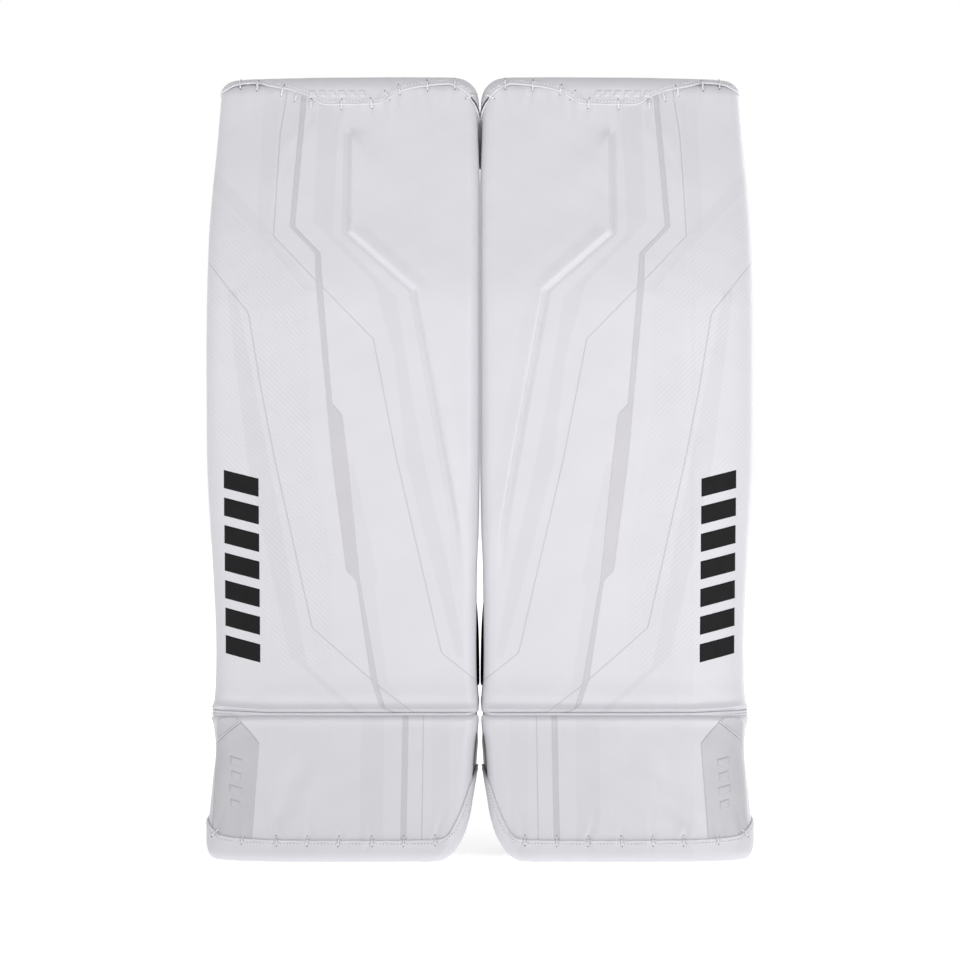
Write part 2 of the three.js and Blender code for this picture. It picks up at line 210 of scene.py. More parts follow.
def closed_form(front, back):
    """Joins a fine front grid to a back grid with the same outline, coarser by a whole number."""
    coarse = (front.shape[0] - 1) // (back.shape[0] - 1)
    first = front.shape[0] * front.shape[1]
    faces = grid_faces(*front.shape[:2]) + grid_faces(*back.shape[:2], start=first)
    fine = rim(*front.shape[:2])
    plain = rim(*back.shape[:2], start=first)
    for k in range(len(plain)):
        run = [fine[(k * coarse + j) % len(fine)] for j in range(coarse + 1)]
        faces.append([*run, plain[(k + 1) % len(plain)], plain[k]])
    return np.concatenate([front.reshape(-1, 3), back.reshape(-1, 3)]), faces


class Parts:
    """Gathers many small closed forms, such as stitches, into one mesh."""

    def __init__(self):
        self.points, self.faces = [], []

    def add(self, points, faces):
        first = len(self.points)
        self.points.extend(np.asarray(points, float).tolist())
        self.faces.extend([[i + first for i in face] for face in faces])

    def tube(self, path, radius, sides=8, closed=False):
        self.add(*tube(path, radius, sides, closed))

    def on_both(self, name, body, key, *replaced):
        on_both(name, body, key, self.points, self.faces, *replaced)


def tube(path, radius, sides=8, closed=False):
    """A round cord along a path. radius is one number, or one for each point."""
    path = np.asarray(path, float)
    count = len(path)
    radius = np.broadcast_to(np.asarray(radius, float), (count,))
    if closed:
        along = np.roll(path, -1, 0) - np.roll(path, 1, 0)
    else:
        along = np.gradient(path, axis=0)
    along /= np.linalg.norm(along, axis=1, keepdims=True) + 1e-12
    start = np.array([0.31, 0.9, 0.22])
    across = np.zeros_like(path)
    for i in range(count):
        start = start - along[i] * (start @ along[i])
        start /= np.linalg.norm(start) + 1e-12
        across[i] = start
    other = np.cross(along, across)
    turn = np.arange(sides) / sides * 2 * math.pi
    ring = across[:, None] * np.cos(turn)[None, :, None] + other[:, None] * np.sin(turn)[None, :, None]
    points = (path[:, None] + ring * radius[:, None, None]).reshape(-1, 3)
    faces = grid_faces(count, sides, closed=True)
    last = (count - 1) * sides
    if closed:
        faces += [[last + j, last + (j + 1) % sides, (j + 1) % sides, j] for j in range(sides)]
    else:
        faces += [list(range(sides))[::-1], [last + j for j in range(sides)]]
    return points, faces


def resample(path, spacing):
    """The same path with points at even spacing, and the spacing rounded to fit."""
    path = np.asarray(path, float)
    length = np.concatenate([[0], np.cumsum(np.linalg.norm(np.diff(path, axis=0), axis=1))])
    count = max(2, int(round(length[-1] / spacing)) + 1)
    at = np.linspace(0, length[-1], count)
    return np.stack([np.interp(at, length, path[:, k]) for k in range(path.shape[1])], -1)


# ---- the skin of a pad ------------------------------------------------------------------------

CORNER = 13.0
ROLL_END_DEPTH = 30.0
TOP_ROUND = 15.0
BOTTOM_ROUND = 11.0
# The outer roll is a cubic curve: how far across it its two middle control points stand, how
# steeply it leaves the ridge, and the depth of its shoulder.
ROLL_FIRST, ROLL_SECOND = 0.36, 0.98
ROLL_SLOPE = 0.26
ROLL_SHOULDER = 9.0
# The inner wall spreads towards its rear edge between two heights above the foot.
FLARE = 3.8
FLARE_TOP, FLARE_FOOT = 138, 45


def section(z, c):
    """The skin's (u, d) at height z. c goes 0..5 round it: inner wall, inner corner, strike face,
    outer roll and outer wall."""
    inner, outer, ridge = inner_edge(z), outer_edge(z), roll_ridge(z)
    wall = (PANEL_BACK - CORNER) * np.clip(c, 0, 1)
    turn = np.clip(c - 1, 0, 1) * math.pi / 2
    over = np.clip(c - 2, 0, 1)
    roll = np.clip(c - 3, 0, 1)
    down = np.clip(c - 4, 0, 1)
    width = outer - ridge
    first, second, third = 3 * (1 - roll) ** 2 * roll, 3 * (1 - roll) * roll**2, roll**3
    roll_u = width * (first * ROLL_FIRST + second * ROLL_SECOND + third)
    roll_d = first * ROLL_FIRST * width * ROLL_SLOPE + second * ROLL_SHOULDER + third * ROLL_END_DEPTH
    flare = FLARE * step((FLARE_TOP - z) / 25) * step((z - FLARE_FOOT) / 50) * np.clip(1 - c, 0, 1)
    u = inner - flare + CORNER * (1 - np.cos(turn)) + (ridge - inner - CORNER) * over + roll_u
    d = PANEL_BACK - wall - CORNER * np.sin(turn) + roll_d + (PANEL_BACK - ROLL_END_DEPTH) * down
    return u, d


def end_round(z, top=PAD_TOP):
    """How far the faces draw in where the skin turns over the top and the bottom edge."""
    over = np.clip(z - (top - TOP_ROUND), 0, TOP_ROUND)
    under = np.clip(BOTTOM_ROUND - z, 0, BOTTOM_ROUND)
    above = TOP_ROUND - np.sqrt(TOP_ROUND**2 - over**2)
    below = BOTTOM_ROUND - np.sqrt(BOTTOM_ROUND**2 - under**2)
    return above + below


def on_front(c):
    """1 on the strike face and the outer roll, 0 on the walls."""
    return step((c - 1.35) / 0.6) * step((4.6 - c) / 0.6)


# The raised edge moulded into the strike face, as (u, z).
RAISED_EDGE = [(133.3, 746), (134.3, 641), (66, 581), (47, 479), (31, 390), (22.5, 338), (19, 289)]
RAISED_HEIGHT = 3.8
RAISED_WIDTH = 3.6


def signed_distance(u, z, line):
    """Distance from a downward line, positive on its inner side."""
    shape = np.broadcast(u, z).shape
    best, side = np.full(shape, 1e9), np.ones(shape)
    for (ua, za), (ub, zb) in zip(line, line[1:]):
        du, dz = ub - ua, zb - za
        t = np.clip(((u - ua) * du + (z - za) * dz) / (du * du + dz * dz), 0, 1)
        away = np.hypot(u - ua - t * du, z - za - t * dz)
        turn = (u - ua) * dz - (z - za) * du
        closer = away < best
        best = np.where(closer, away, best)
        side = np.where(closer, np.where(turn > 0, 1.0, -1.0), side)
    return best * side


def raised_edge(u, z):
    """The height of the moulded edge: a short rise, then a long fall in two halves."""
    s = signed_distance(u, z, RAISED_EDGE)
    rise, half = RAISED_HEIGHT * step(s / RAISED_WIDTH), RAISED_HEIGHT / 2
    height = rise - half * step((s - RAISED_WIDTH) / 16) - half * step((s - 20) / 55)
    groove = 0.8 * bell(s + 1.2, 1.8)
    fade = step((752 - z) / (9 + 1.4 * np.clip(s, 0, None))) * step((z - 285) / 70)
    return (height - groove) * fade


def undulation(u, z):
    """The slight unevenness of padding under a stretched skin."""
    return (
        0.45 * np.sin(u / 23 + z / 61 + 0.7) * np.sin(z / 37 - u / 90)
        + 0.30 * np.sin(u / 13.7 - z / 29 + 2.1) * np.sin(z / 19.3 + u / 47 + 0.4)
        + 0.14 * np.sin(u / 7.1 + z / 11.9) * np.sin(z / 9.7 - u / 21 + 1.3)
    )


# Where the caps are laced on, as u along each cap's edge.
TOP_STITCHES = [248, 229.6, 203, 188.6, 173.2, 141.5, 110.7, 94.3, 82, 53.3, 24.6, 8.5]
BOTTOM_STITCHES = [267, 239, 204, 173, 141.5, 107.6, 75.9, 44]
# The caps' edges, as (u, z).
top_edge = smooth([
    (-44, 714), (-30, 716), (-20, 740), (-8, 756), (0, 762), (2, 770), (7, 781), (13.3, 791),
    (24.6, 796.5), (53, 794.5), (82, 790), (94, 784.5), (108, 776.5), (114, 775.5), (141, 775),
    (168, 775), (176, 776.5), (189, 784), (203, 790), (229, 796), (242, 799.2), (255, 799),
    (262, 797.5), (267, 794), (275, 790), (330, 786),
])
bottom_edge = smooth([
    (20, 30), (35, 24), (50, 22.6), (100, 22.2), (200, 22.5), (250, 24), (262, 26), (270, 31),
    (274, 36), (276, 39), (330, 41),
])
# The bottom cap's edge where it climbs the inner side, as (c, z), with c as section() has it.
bottom_climb = smooth([
    (0, 92), (0.8, 85), (1.36, 76), (1.52, 68), (1.69, 58), (1.84, 46), (1.95, 35.5), (2.01, 28),
])


def pucker(across, gap, lean, reach, dent, swelling):
    """One stitch's dent, (depth, width), with a swelling, (height, width, offset), on each side.
    gap is the distance from the cap's edge, over which the pucker leans and dies away."""
    away = np.where(gap > 0, gap, -2.5 * gap)
    across = across + away * lean
    folds = dent[0] * bell(across, dent[1]) - swelling[0] * bell(np.abs(across) - swelling[2], swelling[1])
    return np.exp(-away / reach) * folds


def puckers(u, z):
    """Each lacing stitch pulls the skin in and throws short folds away from the cap."""
    total = np.zeros(np.broadcast(u, z).shape)
    gap = top_edge(u) - z
    for i, at in enumerate(TOP_STITCHES):
        lean, reach = 0.25 * math.sin(i * 2.3), 11 + 4 * math.sin(i * 1.7)
        total += pucker(u - at, gap, lean, reach, (1.5, 2.6), (0.8, 3.6, 6.5))
    gap = z - bottom_edge(u)
    for i, at in enumerate(BOTTOM_STITCHES):
        lean, reach = 0.3 * math.sin(i * 1.9 + 1), 9 + 4 * math.sin(i * 2.9 + 0.5)
        total += pucker(u - at, gap, lean, reach, (1.3, 2.4), (0.7, 3.4, 6))
    return total


# The shin's lower end rises towards the back, and the boot's upper end falls, so the boot can flex.
SHIN_RISE = math.tan(math.radians(8))
BOOT_FALL = math.tan(math.radians(9))
CREASE_SHIN_DEPTH = 5.5
CREASE_BOOT_DEPTH = 5.0


def crease(above):
    """Depth at the boot crease, where both skins swell and then turn in. above is the height over
    the crease, negative on the boot."""
    swelling = 1.7 * bell(above - 3.5, 3.2)
    hollow = 1.5 * bell(above - 10, 5.5)
    shin = CREASE_SHIN_DEPTH * (1 - step(above / 4)) - swelling + hollow
    boot = CREASE_BOOT_DEPTH * (1 - step(-above / 3.5)) - 0.9 * bell(-above - 5, 5)
    return np.where(above >= 0, shin, boot)


def boot_fold(u, z):
    """A soft slanting fold in the boot's skin beside the outer roll."""
    foot, height = 30, 75
    up = (z - foot) / height
    centre = 206 - 24 * up
    strength = step(up / 0.25) * step((1.15 - up) / 0.5)
    return strength * (1.5 * bell(u - centre, 9) - 1.1 * bell(u - centre + 19, 10))


CROWN = 1.8
VALLEY = 0.8


def skin(z, c, above=None, top=PAD_TOP):
    """Points (u, y, z) of the skin. above is the height over the crease."""
    z, c = np.broadcast_arrays(np.asarray(z, float), np.asarray(c, float))
    above = z - BREAK_Z if above is None else above
    u, d = section(z, c)
    crown = CROWN * np.sin(math.pi * np.clip((u - inner_edge(z)) / (roll_ridge(z) - inner_edge(z)), 0, 1))
    valley = VALLEY * bell(u - roll_ridge(z) + 3, 6) * step((z - BREAK_Z) / 60)
    detail = undulation(u, z) + puckers(u, z) + boot_fold(u, z) + valley - crown - raised_edge(u, z)
    fold = crease(above)
    d = d + on_front(c) * detail + fold * step(c - 1) * step((4.2 - c) / 0.8)
    u = u + 0.5 * fold * (step((1.2 - c) / 0.6) - step((c - 4) / 0.5))
    d = d + end_round(z, top) * step((c - 0.7) / 0.6) * step((5 - c) / 1.2)
    return np.stack([u, face_y(z) + d, z], -1)


def lifted(z, c, lift, above=None):
    """Points a little way out from the skin."""
    z, c = np.broadcast_arrays(np.asarray(z, float), np.asarray(c, float))
    small = 0.02
    across = skin(z, np.minimum(c + small, 5), above) - skin(z, np.maximum(c - small, 0), above)
    up = skin(z + 0.6, c, above) - skin(z - 0.6, c, above)
    normal = np.cross(across, up)
    normal /= np.linalg.norm(normal, axis=-1, keepdims=True) + 1e-12
    return skin(z, c, above) + normal * np.expand_dims(np.broadcast_to(lift, z.shape), -1)


FRONT = np.linspace(1, 4, 241)


def place(u, z):
    """The c at which the front of the skin has this u."""
    u, z = np.broadcast_arrays(np.asarray(u, float), np.asarray(z, float))
    across = section(z.reshape(-1, 1), FRONT[None, :])[0]
    found = [np.interp(value, row, FRONT) for value, row in zip(u.ravel(), across)]
    return np.array(found).reshape(u.shape)


def on_skin(u, z, lift):
    z = np.asarray(z, float) + 0 * np.asarray(u, float)
    return lifted(z, place(u, z), lift)


def columns(counts):
    """Places along c, with counts[i] steps in the i-th stretch of the section."""
    runs = [i + np.arange(n) / n for i, n in enumerate(counts)]
    return np.append(np.concatenate(runs), float(len(counts)))


# ---- shin and boot ----------------------------------------------------------------------------

# Steps in each stretch of the section, and how many of them one step of the flat back takes.
FINE = (9, 7, 108, 34, 10)
COARSE = 6
WALL = 2.4
FORM_BACK = 47.0
WALL_BACK = 53.5
FORM_TOP = PAD_TOP - 2


def back_grid(z, rows_z):
    """The flat back of a padded form, with the edges of the side walls standing round it."""
    count = sum(FINE) // COARSE + 1
    inner, outer = inner_edge(rows_z) + WALL, outer_edge(rows_z) - WALL
    t = np.concatenate([[0, 0.002], np.linspace(0.006, 0.994, count - 4), [0.998, 1]])
    u = inner[:, None] + (outer - inner)[:, None] * t[None, :]
    depth = np.full_like(u, FORM_BACK)
    depth[:, 0] = depth[:, -1] = WALL_BACK
    return np.stack([u, face_y(rows_z)[:, None] + depth, z], -1)


def padded_form(rows, low, high, low_slope, high_slope):
    """The padded body between two heights, whose ends may slope towards the back."""
    c = columns(FINE)[None, :]
    v = np.linspace(0, 1, rows + 1)[:, None]
    depth = section(np.full_like(c, (low + high) / 2), c)[1]
    z = (low + low_slope * depth) * (1 - v) + (high - high_slope * depth) * v
    above = (z - low - low_slope * depth) if low_slope else (z - high + high_slope * depth)
    front = skin(z, c, above if low_slope else np.minimum(above, -1e-6), FORM_TOP)
    v_back = v[::COARSE, 0]
    z_back = (low + low_slope * FORM_BACK) * (1 - v_back) + (high - high_slope * FORM_BACK) * v_back
    z_grid = np.repeat(z_back[:, None], sum(FINE) // COARSE + 1, axis=1)
    return closed_form(front, back_grid(z_grid, z_back))


# ---- caps -------------------------------------------------------------------------------------

CAP_LIFT = 1.9
CAP_THICKNESS = 1.4
CAP_COLUMNS = (10, 16, 120, 34, 10)
CAP_ROWS = 24
REAR_COLUMNS = 72
# Heights whose section stands for each cap, and how far its edge runs on along the two walls.
TOP_CAP_LEVEL = 750.0
BOTTOM_CAP_LEVEL = 24.0
INNER_RUN, OUTER_RUN = 44, 50
# Where along the section the bottom cap's edge stops climbing, and how softly.
CLIMB_END = 2.01
CLIMB_BLEND_END, CLIMB_BLEND = 2.03, 0.03


def cap_edge(c, top):
    """The height of a cap's edge at places along the section, round the corners and the walls."""
    u, _ = section(np.full_like(c, TOP_CAP_LEVEL if top else BOTTOM_CAP_LEVEL), c)
    outwards = OUTER_RUN * np.clip(c - 4, 0, 1)
    if top:
        return top_edge(u - INNER_RUN * np.clip(1 - c, 0, 1) + outwards)
    climbing = step((CLIMB_BLEND_END - c) / CLIMB_BLEND)
    return bottom_climb(np.minimum(c, CLIMB_END)) * climbing + bottom_edge(u + outwards) * (1 - climbing)


def cap_ring(side_z, rear_z, top):
    """The rows of a cap, each one a closed ring, from its edge up to where it closes."""
    c = columns(CAP_COLUMNS)[None, :]
    end = PAD_TOP - 1.0 if top else CAP_THICKNESS
    even = np.linspace(0, 1, CAP_ROWS + 1)[:, None]
    v = step(even) * 0.5 + even * 0.5
    z = side_z[None, :] + (end - side_z[None, :]) * v
    front = lifted(z, c, CAP_LIFT)
    front[..., 2] = np.clip(front[..., 2], CAP_THICKNESS, PAD_TOP - 0.3)
    t = (np.arange(1, REAR_COLUMNS) / REAR_COLUMNS)[None, :]
    rise = np.sin(math.pi * t) ** 0.4
    corner = z[:, -1:] * (1 - t) + z[:, :1] * t
    z_rear = corner * (1 - rise) + (rear_z + (end - rear_z) * v) * rise
    outer, inner = outer_edge(z_rear) + CAP_LIFT, inner_edge(z_rear) - CAP_LIFT
    swell = (CAP_BACK - PANEL_BACK) * np.clip(np.sin(math.pi * t) * 5, 0, 1) ** 0.6
    d = PANEL_BACK + swell - end_round(z_rear) * np.clip(np.sin(math.pi * t) * 8, 0, 1)
    rear = np.stack([outer + (inner - outer) * t, face_y(z_rear) + d, z_rear], -1)
    return np.concatenate([front, rear], axis=1)


def cap(name, body, top, rear_z, replaced):
    """A leather cap over one end of a pad. rear_z is where its edge runs across the back."""
    edge = cap_edge(columns(CAP_COLUMNS), top)
    rings = cap_ring(edge, rear_z, top)
    last = rings[-1]
    middle_y = (last[:, 1].min() + last[:, 1].max()) / 2
    inset = 20
    span = last[:, 0].min() + inset, last[:, 0].max() - inset
    middle = np.stack([np.clip(last[:, 0], *span), np.full(len(last), middle_y), last[:, 2]], -1)
    shrink = [last + (middle - last) * s for s in (0.12, 0.35, 0.65, 0.96)]
    rings = np.concatenate([rings, np.array(shrink)])
    rows, cols = rings.shape[:2]
    faces = grid_faces(rows, cols, closed=True)
    faces.append([(rows - 1) * cols + j for j in range(cols)])
    for obj in on_both(name, body, "leather", rings.reshape(-1, 3), faces, replaced):
        thick = obj.modifiers.new("thickness", "SOLIDIFY")
        thick.thickness = CAP_THICKNESS * MM
        thick.offset = -1


# ---- materials --------------------------------------------------------------------------------

class Field:
    """A value in a node tree, which arithmetic builds on."""

    def __init__(self, tree, socket):
        self.tree, self.socket = tree, socket

    def math(self, operation, *others, clamp=False):
        node = self.tree.nodes.new("ShaderNodeMath")
        node.operation = operation
        node.use_clamp = clamp
        for value, socket in zip((self, *others), node.inputs):
            if isinstance(value, Field):
                self.tree.links.new(value.socket, socket)
            else:
                socket.default_value = value
        return Field(self.tree, node.outputs[0])

    def __add__(self, other):
        return self.math("ADD", other)

    def __sub__(self, other):
        return self.math("SUBTRACT", other)

    def __rsub__(self, other):
        return (self * -1) + other

    def __mul__(self, other):
        return self.math("MULTIPLY", other)

    __radd__, __rmul__ = __add__, __mul__

    def abs(self):
        return self.math("ABSOLUTE")

    def sin(self):
        return self.math("SINE")

    def fraction(self):
        return self.math("FRACT")

    def above(self, level, softness):
        """0 below the level, 1 above it, over a soft edge."""
        return ((self - level) * (1 / softness) + 0.5).math("MULTIPLY", 1.0, clamp=True)

    def below(self, level, softness):
        return 1 - self.above(level, softness)


class Finish:
    """One material: its node tree, its coordinates in millimetres, and its shader."""

    def __init__(self, name, roughness=0.5, **shader):
        self.material = bpy.data.materials.new(name)
        self.material.use_nodes = True
        self.tree = self.material.node_tree
        self.shader = self.tree.nodes["Principled BSDF"]
        self.set(Roughness=roughness, **{k.replace("_", " "): v for k, v in shader.items()})
        position = self.node("ShaderNodeTexCoord").outputs["Object"]
        self.position = position
        split = self.node("ShaderNodeSeparateXYZ", Vector=position)
        self.x, self.y, self.z = (Field(self.tree, split.outputs[k]) * (1 / MM) for k in "XYZ")
        self.u = self.x.abs() - HALF_GAP

    def node(self, kind, settings=None, **inputs):
        node = self.tree.nodes.new(kind)
        for name, value in (settings or {}).items():
            setattr(node, name, value)
        for name, value in inputs.items():
            self.plug(node.inputs[name.replace("_", " ")], value)
        return node

    def plug(self, socket, value):
        if isinstance(value, Field):
            value = value.socket
        if isinstance(value, bpy.types.NodeSocket):
            self.tree.links.new(value, socket)
        else:
            socket.default_value = value

    def set(self, **inputs):
        for name, value in inputs.items():
            self.plug(self.shader.inputs[name.replace("_", " ")], value)

    def noise(self, size, detail=3.0, roughness=0.55):
        """Cloudy variation, 0 to 1, with features of a size in millimetres."""
        at = {"Vector": self.position, "Scale": 1 / (size * MM)}
        node = self.node("ShaderNodeTexNoise", **at, Detail=detail, Roughness=roughness)
        return Field(self.tree, node.outputs["Fac"])

    def cells(self, size):
        """Rounded cells of a size in millimetres, 0 at each one's middle."""
        node = self.node("ShaderNodeTexVoronoi", Vector=self.position, Scale=1 / (size * MM))
        return Field(self.tree, node.outputs["Distance"])

    def mix(self, amount, first, second):
        node = self.node("ShaderNodeMix", {"data_type": "RGBA"})
        for socket, value in zip((node.inputs[0], node.inputs[6], node.inputs[7]), (amount, first, second)):
            self.plug(socket, value)
        return node.outputs[2]

    def curve(self, points):
        """A value in millimetres, read from (value, z) points at this height."""
        reach = 300.0
        node = self.node("ShaderNodeFloatCurve", Value=self.z * (1 / PAD_TOP))
        line = node.mapping.curves[0]
        knots = sorted((z / PAD_TOP, u / reach) for u, z in points)
        knots = [(0.0, knots[0][1])] * (knots[0][0] > 0.001) + knots
        knots += [(1.0, knots[-1][1])] * (knots[-1][0] < 0.999)
        line.points[0].location = knots[0]
        line.points[1].location = knots[-1]
        for knot in knots[1:-1]:
            line.points.new(*knot)
        for point in line.points:
            point.handle_type = "VECTOR"
        node.mapping.update()
        return Field(self.tree, node.outputs[0]) * reach

    def bump(self, height, depth, strength=1.0):
        """Raises the surface by height, 0 to 1, times depth in millimetres."""
        node = self.node("ShaderNodeBump", Height=height, Strength=strength, Distance=depth * MM)
        before = self.shader.inputs["Normal"].links
        if before:
            self.plug(node.inputs["Normal"], before[0].from_socket)
        self.plug(self.shader.inputs["Normal"], node.outputs["Normal"])

    def shade(self, colour, variation, size):
        """A base colour that varies a little from place to place."""
        dark = tuple(c * (1 - variation) for c in colour) + (1.0,)
        light = tuple(min(1.0, c * (1 + variation)) for c in colour) + (1.0,)
        return self.mix(self.noise(size), dark, light)


def leather_grain(finish, depth=0.05, size=1.1):
    """Fine pebbles, a little pull in one direction, and roughness that varies with them."""
    pebble = finish.cells(size)
    finish.bump(pebble, depth)
    finish.bump(finish.noise(size * 0.35, 2.0), depth * 0.4)
    finish.bump(finish.noise(26.0, 2.0), 0.35)
    return pebble


WHITE = (0.655, 0.650, 0.685)
BLACK = (0.008, 0.008, 0.009)
BADGE_GREY = (0.52, 0.515, 0.54)
PLASTIC_GREY = (0.2, 0.205, 0.215)
INK = (0.02, 0.02, 0.022, 1)
WHITE_COAT = {"Coat_Weight": 0.12, "Coat_Roughness": 0.3}


def white_ground(finish):
    """White leather's colour, which wanders a little over a hand's breadth."""
    return finish.shade(WHITE, 0.012, 60)


def white_roughness(finish, pebble):
    return finish.noise(18) * 0.14 + pebble * 0.06


def white_leather():
    finish = Finish("white_leather", **WHITE_COAT, Specular_IOR_Level=0.5)
    pebble = leather_grain(finish)
    finish.set(Base_Color=white_ground(finish), Roughness=white_roughness(finish, pebble) + 0.36)
    return finish


def black_leather(name="black_leather", gloss=0.4):
    finish = Finish(name, Specular_IOR_Level=gloss)
    pebble = leather_grain(finish, 0.12, 1.3)
    finish.set(Base_Color=finish.shade(BLACK, 0.35, 14))
    finish.set(Roughness=finish.noise(12) * 0.2 + pebble * 0.1 + 0.4)
    return finish


def grey_leather():
    finish = Finish("grey_leather", Metallic=0.08)
    pebble = leather_grain(finish, 0.05, 0.9)
    finish.set(Base_Color=finish.shade(BADGE_GREY, 0.04, 22), Roughness=pebble * 0.1 + 0.42)
    return finish


def weave(finish, pitch):
    """Two sets of threads, each passing over and under the other."""
    a = (finish.x + finish.y) * (1 / pitch)
    b = finish.z * (1 / pitch)
    parity = ((a.math("FLOOR") + b.math("FLOOR")) * 0.5).fraction() * 2
    one, other = (a * math.pi).sin().abs(), (b * math.pi).sin().abs()
    return one * parity + other * (1 - parity)


def black_nylon():
    finish = Finish("black_nylon", Sheen_Weight=0.08, Sheen_Roughness=0.4, Specular_IOR_Level=0.3)
    threads = weave(finish, 0.95)
    dark, light = (0.004, 0.004, 0.0045, 1), (0.019, 0.019, 0.021, 1)
    # The threads' crowns are coloured lighter and the gaps between them darker, painted shade, over a real
    # wander in tone.
    finish.set(Base_Color=finish.mix(threads * 0.6 + finish.noise(9) * 0.4, dark, light))
    finish.set(Roughness=finish.noise(6) * 0.15 + 0.62)
    finish.bump(threads, 0.16)
    finish.bump(finish.noise(14, 3.0), 0.5)
    return finish


def black_webbing():
    finish = Finish("black_webbing", Sheen_Weight=0.08, Specular_IOR_Level=0.35)
    rib_pitch, twill_pitch, zigzag = 1.5, 1.4, 9.0
    rib = ((finish.x + finish.z * 0.5) * (math.pi / rib_pitch)).sin().abs()
    chevron = ((finish.z * (1 / zigzag)).fraction() - 0.5).abs() * zigzag
    twill = ((finish.x + chevron) * (math.pi / twill_pitch)).sin().abs()
    threads = twill * 0.7 + rib * 0.3
    # The threads' crowns are coloured lighter and the gaps between them darker: painted shade.
    finish.set(Base_Color=finish.mix(threads, (0.006, 0.006, 0.007, 1), (0.035, 0.035, 0.038, 1)))
    finish.set(Roughness=finish.noise(5) * 0.15 + 0.55)
    finish.bump(threads, 0.3)
    return finish


def thread(name, colour):
    """Twisted thread or lace, with its lay running round it, and the hollows between its plies coloured
    darker, painted shade.
    """
    finish = Finish(name, Sheen_Weight=0.15)
    pitch = 0.55
    lay = ((finish.x + finish.z + finish.y) * (math.pi / pitch)).sin().abs()
    other = ((finish.x - finish.z + finish.y) * (math.pi / pitch)).sin().abs()
    braid = lay.math("MAXIMUM", other)
    # Painted shade: the hollows between the plies are coloured darker.
    hollow = tuple(c * 0.72 for c in colour)
    finish.set(Base_Color=finish.mix(braid, (*hollow, 1), (*colour, 1)))
    finish.set(Roughness=finish.noise(2) * 0.2 + 0.5)
    finish.bump(braid, 0.12)
    return finish


def board_finish():
    finish = Finish("stiffener_plastic")
    finish.set(Base_Color=finish.shade(PLASTIC_GREY, 0.1, 20), Roughness=finish.noise(8) * 0.2 + 0.4)
    finish.bump(finish.noise(1.5), 0.08)
    return finish


# ---- the strike face's printed and inlaid lines, as (u, z) ------------------------------------

LINE_A = [
    (198.9, 785), (205, 745), (210.5, 638), (166, 591), (107.6, 531.5), (84, 410), (37.9, 210), (1, 180.6),
]
LINE_B = [
    (278.8, 611.5), (235.8, 558.1), (223.5, 484.3), (209.1, 410.4), (170.2, 236), (110.7, 183.7),
    (103.5, 177.5), (60.5, 144.7),
]
LINE_B_TOP = 612
STRIPE_OUTER = [
    (182.6, 792), (183.8, 773.6), (185.9, 744.9), (193.6, 647.4), (167, 619.7), (166, 586.9),
    (149.3, 405.3), (135, 294.5), (124.7, 284.2), (110, 184.7), (100.6, 156), (88, 149), (77.5, 145),
]
STRIPE_INNER = [
    (178.4, 792), (179.1, 773.6), (181.2, 744.9), (188.9, 647.4), (162.3, 619.7), (159.9, 584.8),
    (150, 465.1), (139.7, 453.8), (134, 405.3), (122, 285.5), (103.2, 177.8), (95.7, 154), (79, 147.5),
    (72, 144),
]
# Tone bands: how much each darkens the leather, its outer edge and its inner edge.
TONE_BANDS = [
    (0.045, [(164, 792), (165, 766), (170, 652.5), (106.6, 588), (86, 513), (73.8, 405), (48, 303),
             (22, 205)],
     [(143.5, 792), (144.5, 766), (149.7, 639), (84, 574.6), (67.7, 472), (55.4, 405), (31.8, 303),
      (14, 205)]),
    (0.035, [(134, 405), (122, 285.5), (103.2, 177.8), (94.3, 150)],
     [(128, 405), (102.5, 287), (106.6, 277), (93.3, 182.6), (72.8, 150)]),
    (0.05, [(258.3, 581.7), (236.8, 405.3), (193.7, 207.3), (130.2, 149.8)],
     [(247, 571.5), (214.2, 405.3), (175.3, 197), (119.9, 149.8)]),
    (0.03, [(222, 792), (227, 672), (227, 640)], [(206, 792), (211, 672), (211, 640)]),
    (0.03, [(298, 712), (276, 690), (211, 622), (176.6, 580)],
     [(276, 712), (211, 640), (177, 594), (165, 580)]),
]
HATCH_INNER = [
    (176, 590), (174, 544), (174, 462), (166, 405), (150, 303), (132, 279), (125, 223), (118, 190),
]
HATCH_TOP = [(300, 700), (276, 677), (211, 629), (176.6, 585), (150, 556)]
HATCH_PITCH = 3.8
HATCH_FOOT = 190
HATCH_OUTER = 276
# Painted shade along the foot of the raised edge's step, and the heights between which it shows.
RAISED_FOOT = [(u + 6.0, z) for u, z in RAISED_EDGE]
SHADE_TOP, SHADE_FOOT = 746, 330
STRIPE_GREY = (0.555, 0.54, 0.57, 1)
# How much each kind of mark darkens the leather: printed seams, outlines and hatch, and the painted shade
# beside the raised edge.
SEAM_INK, OUTLINE_INK, HATCH_INK, PAINTED_SHADE_DARKNESS = 0.20, 0.18, 0.07, 0.06


def between(finish, outer, inner, softness=0.6):
    return finish.u.above(finish.curve(inner), softness) * finish.u.below(finish.curve(outer), softness)


def line(finish, points, width):
    return (finish.u - finish.curve(points)).abs().below(width / 2, 0.5)


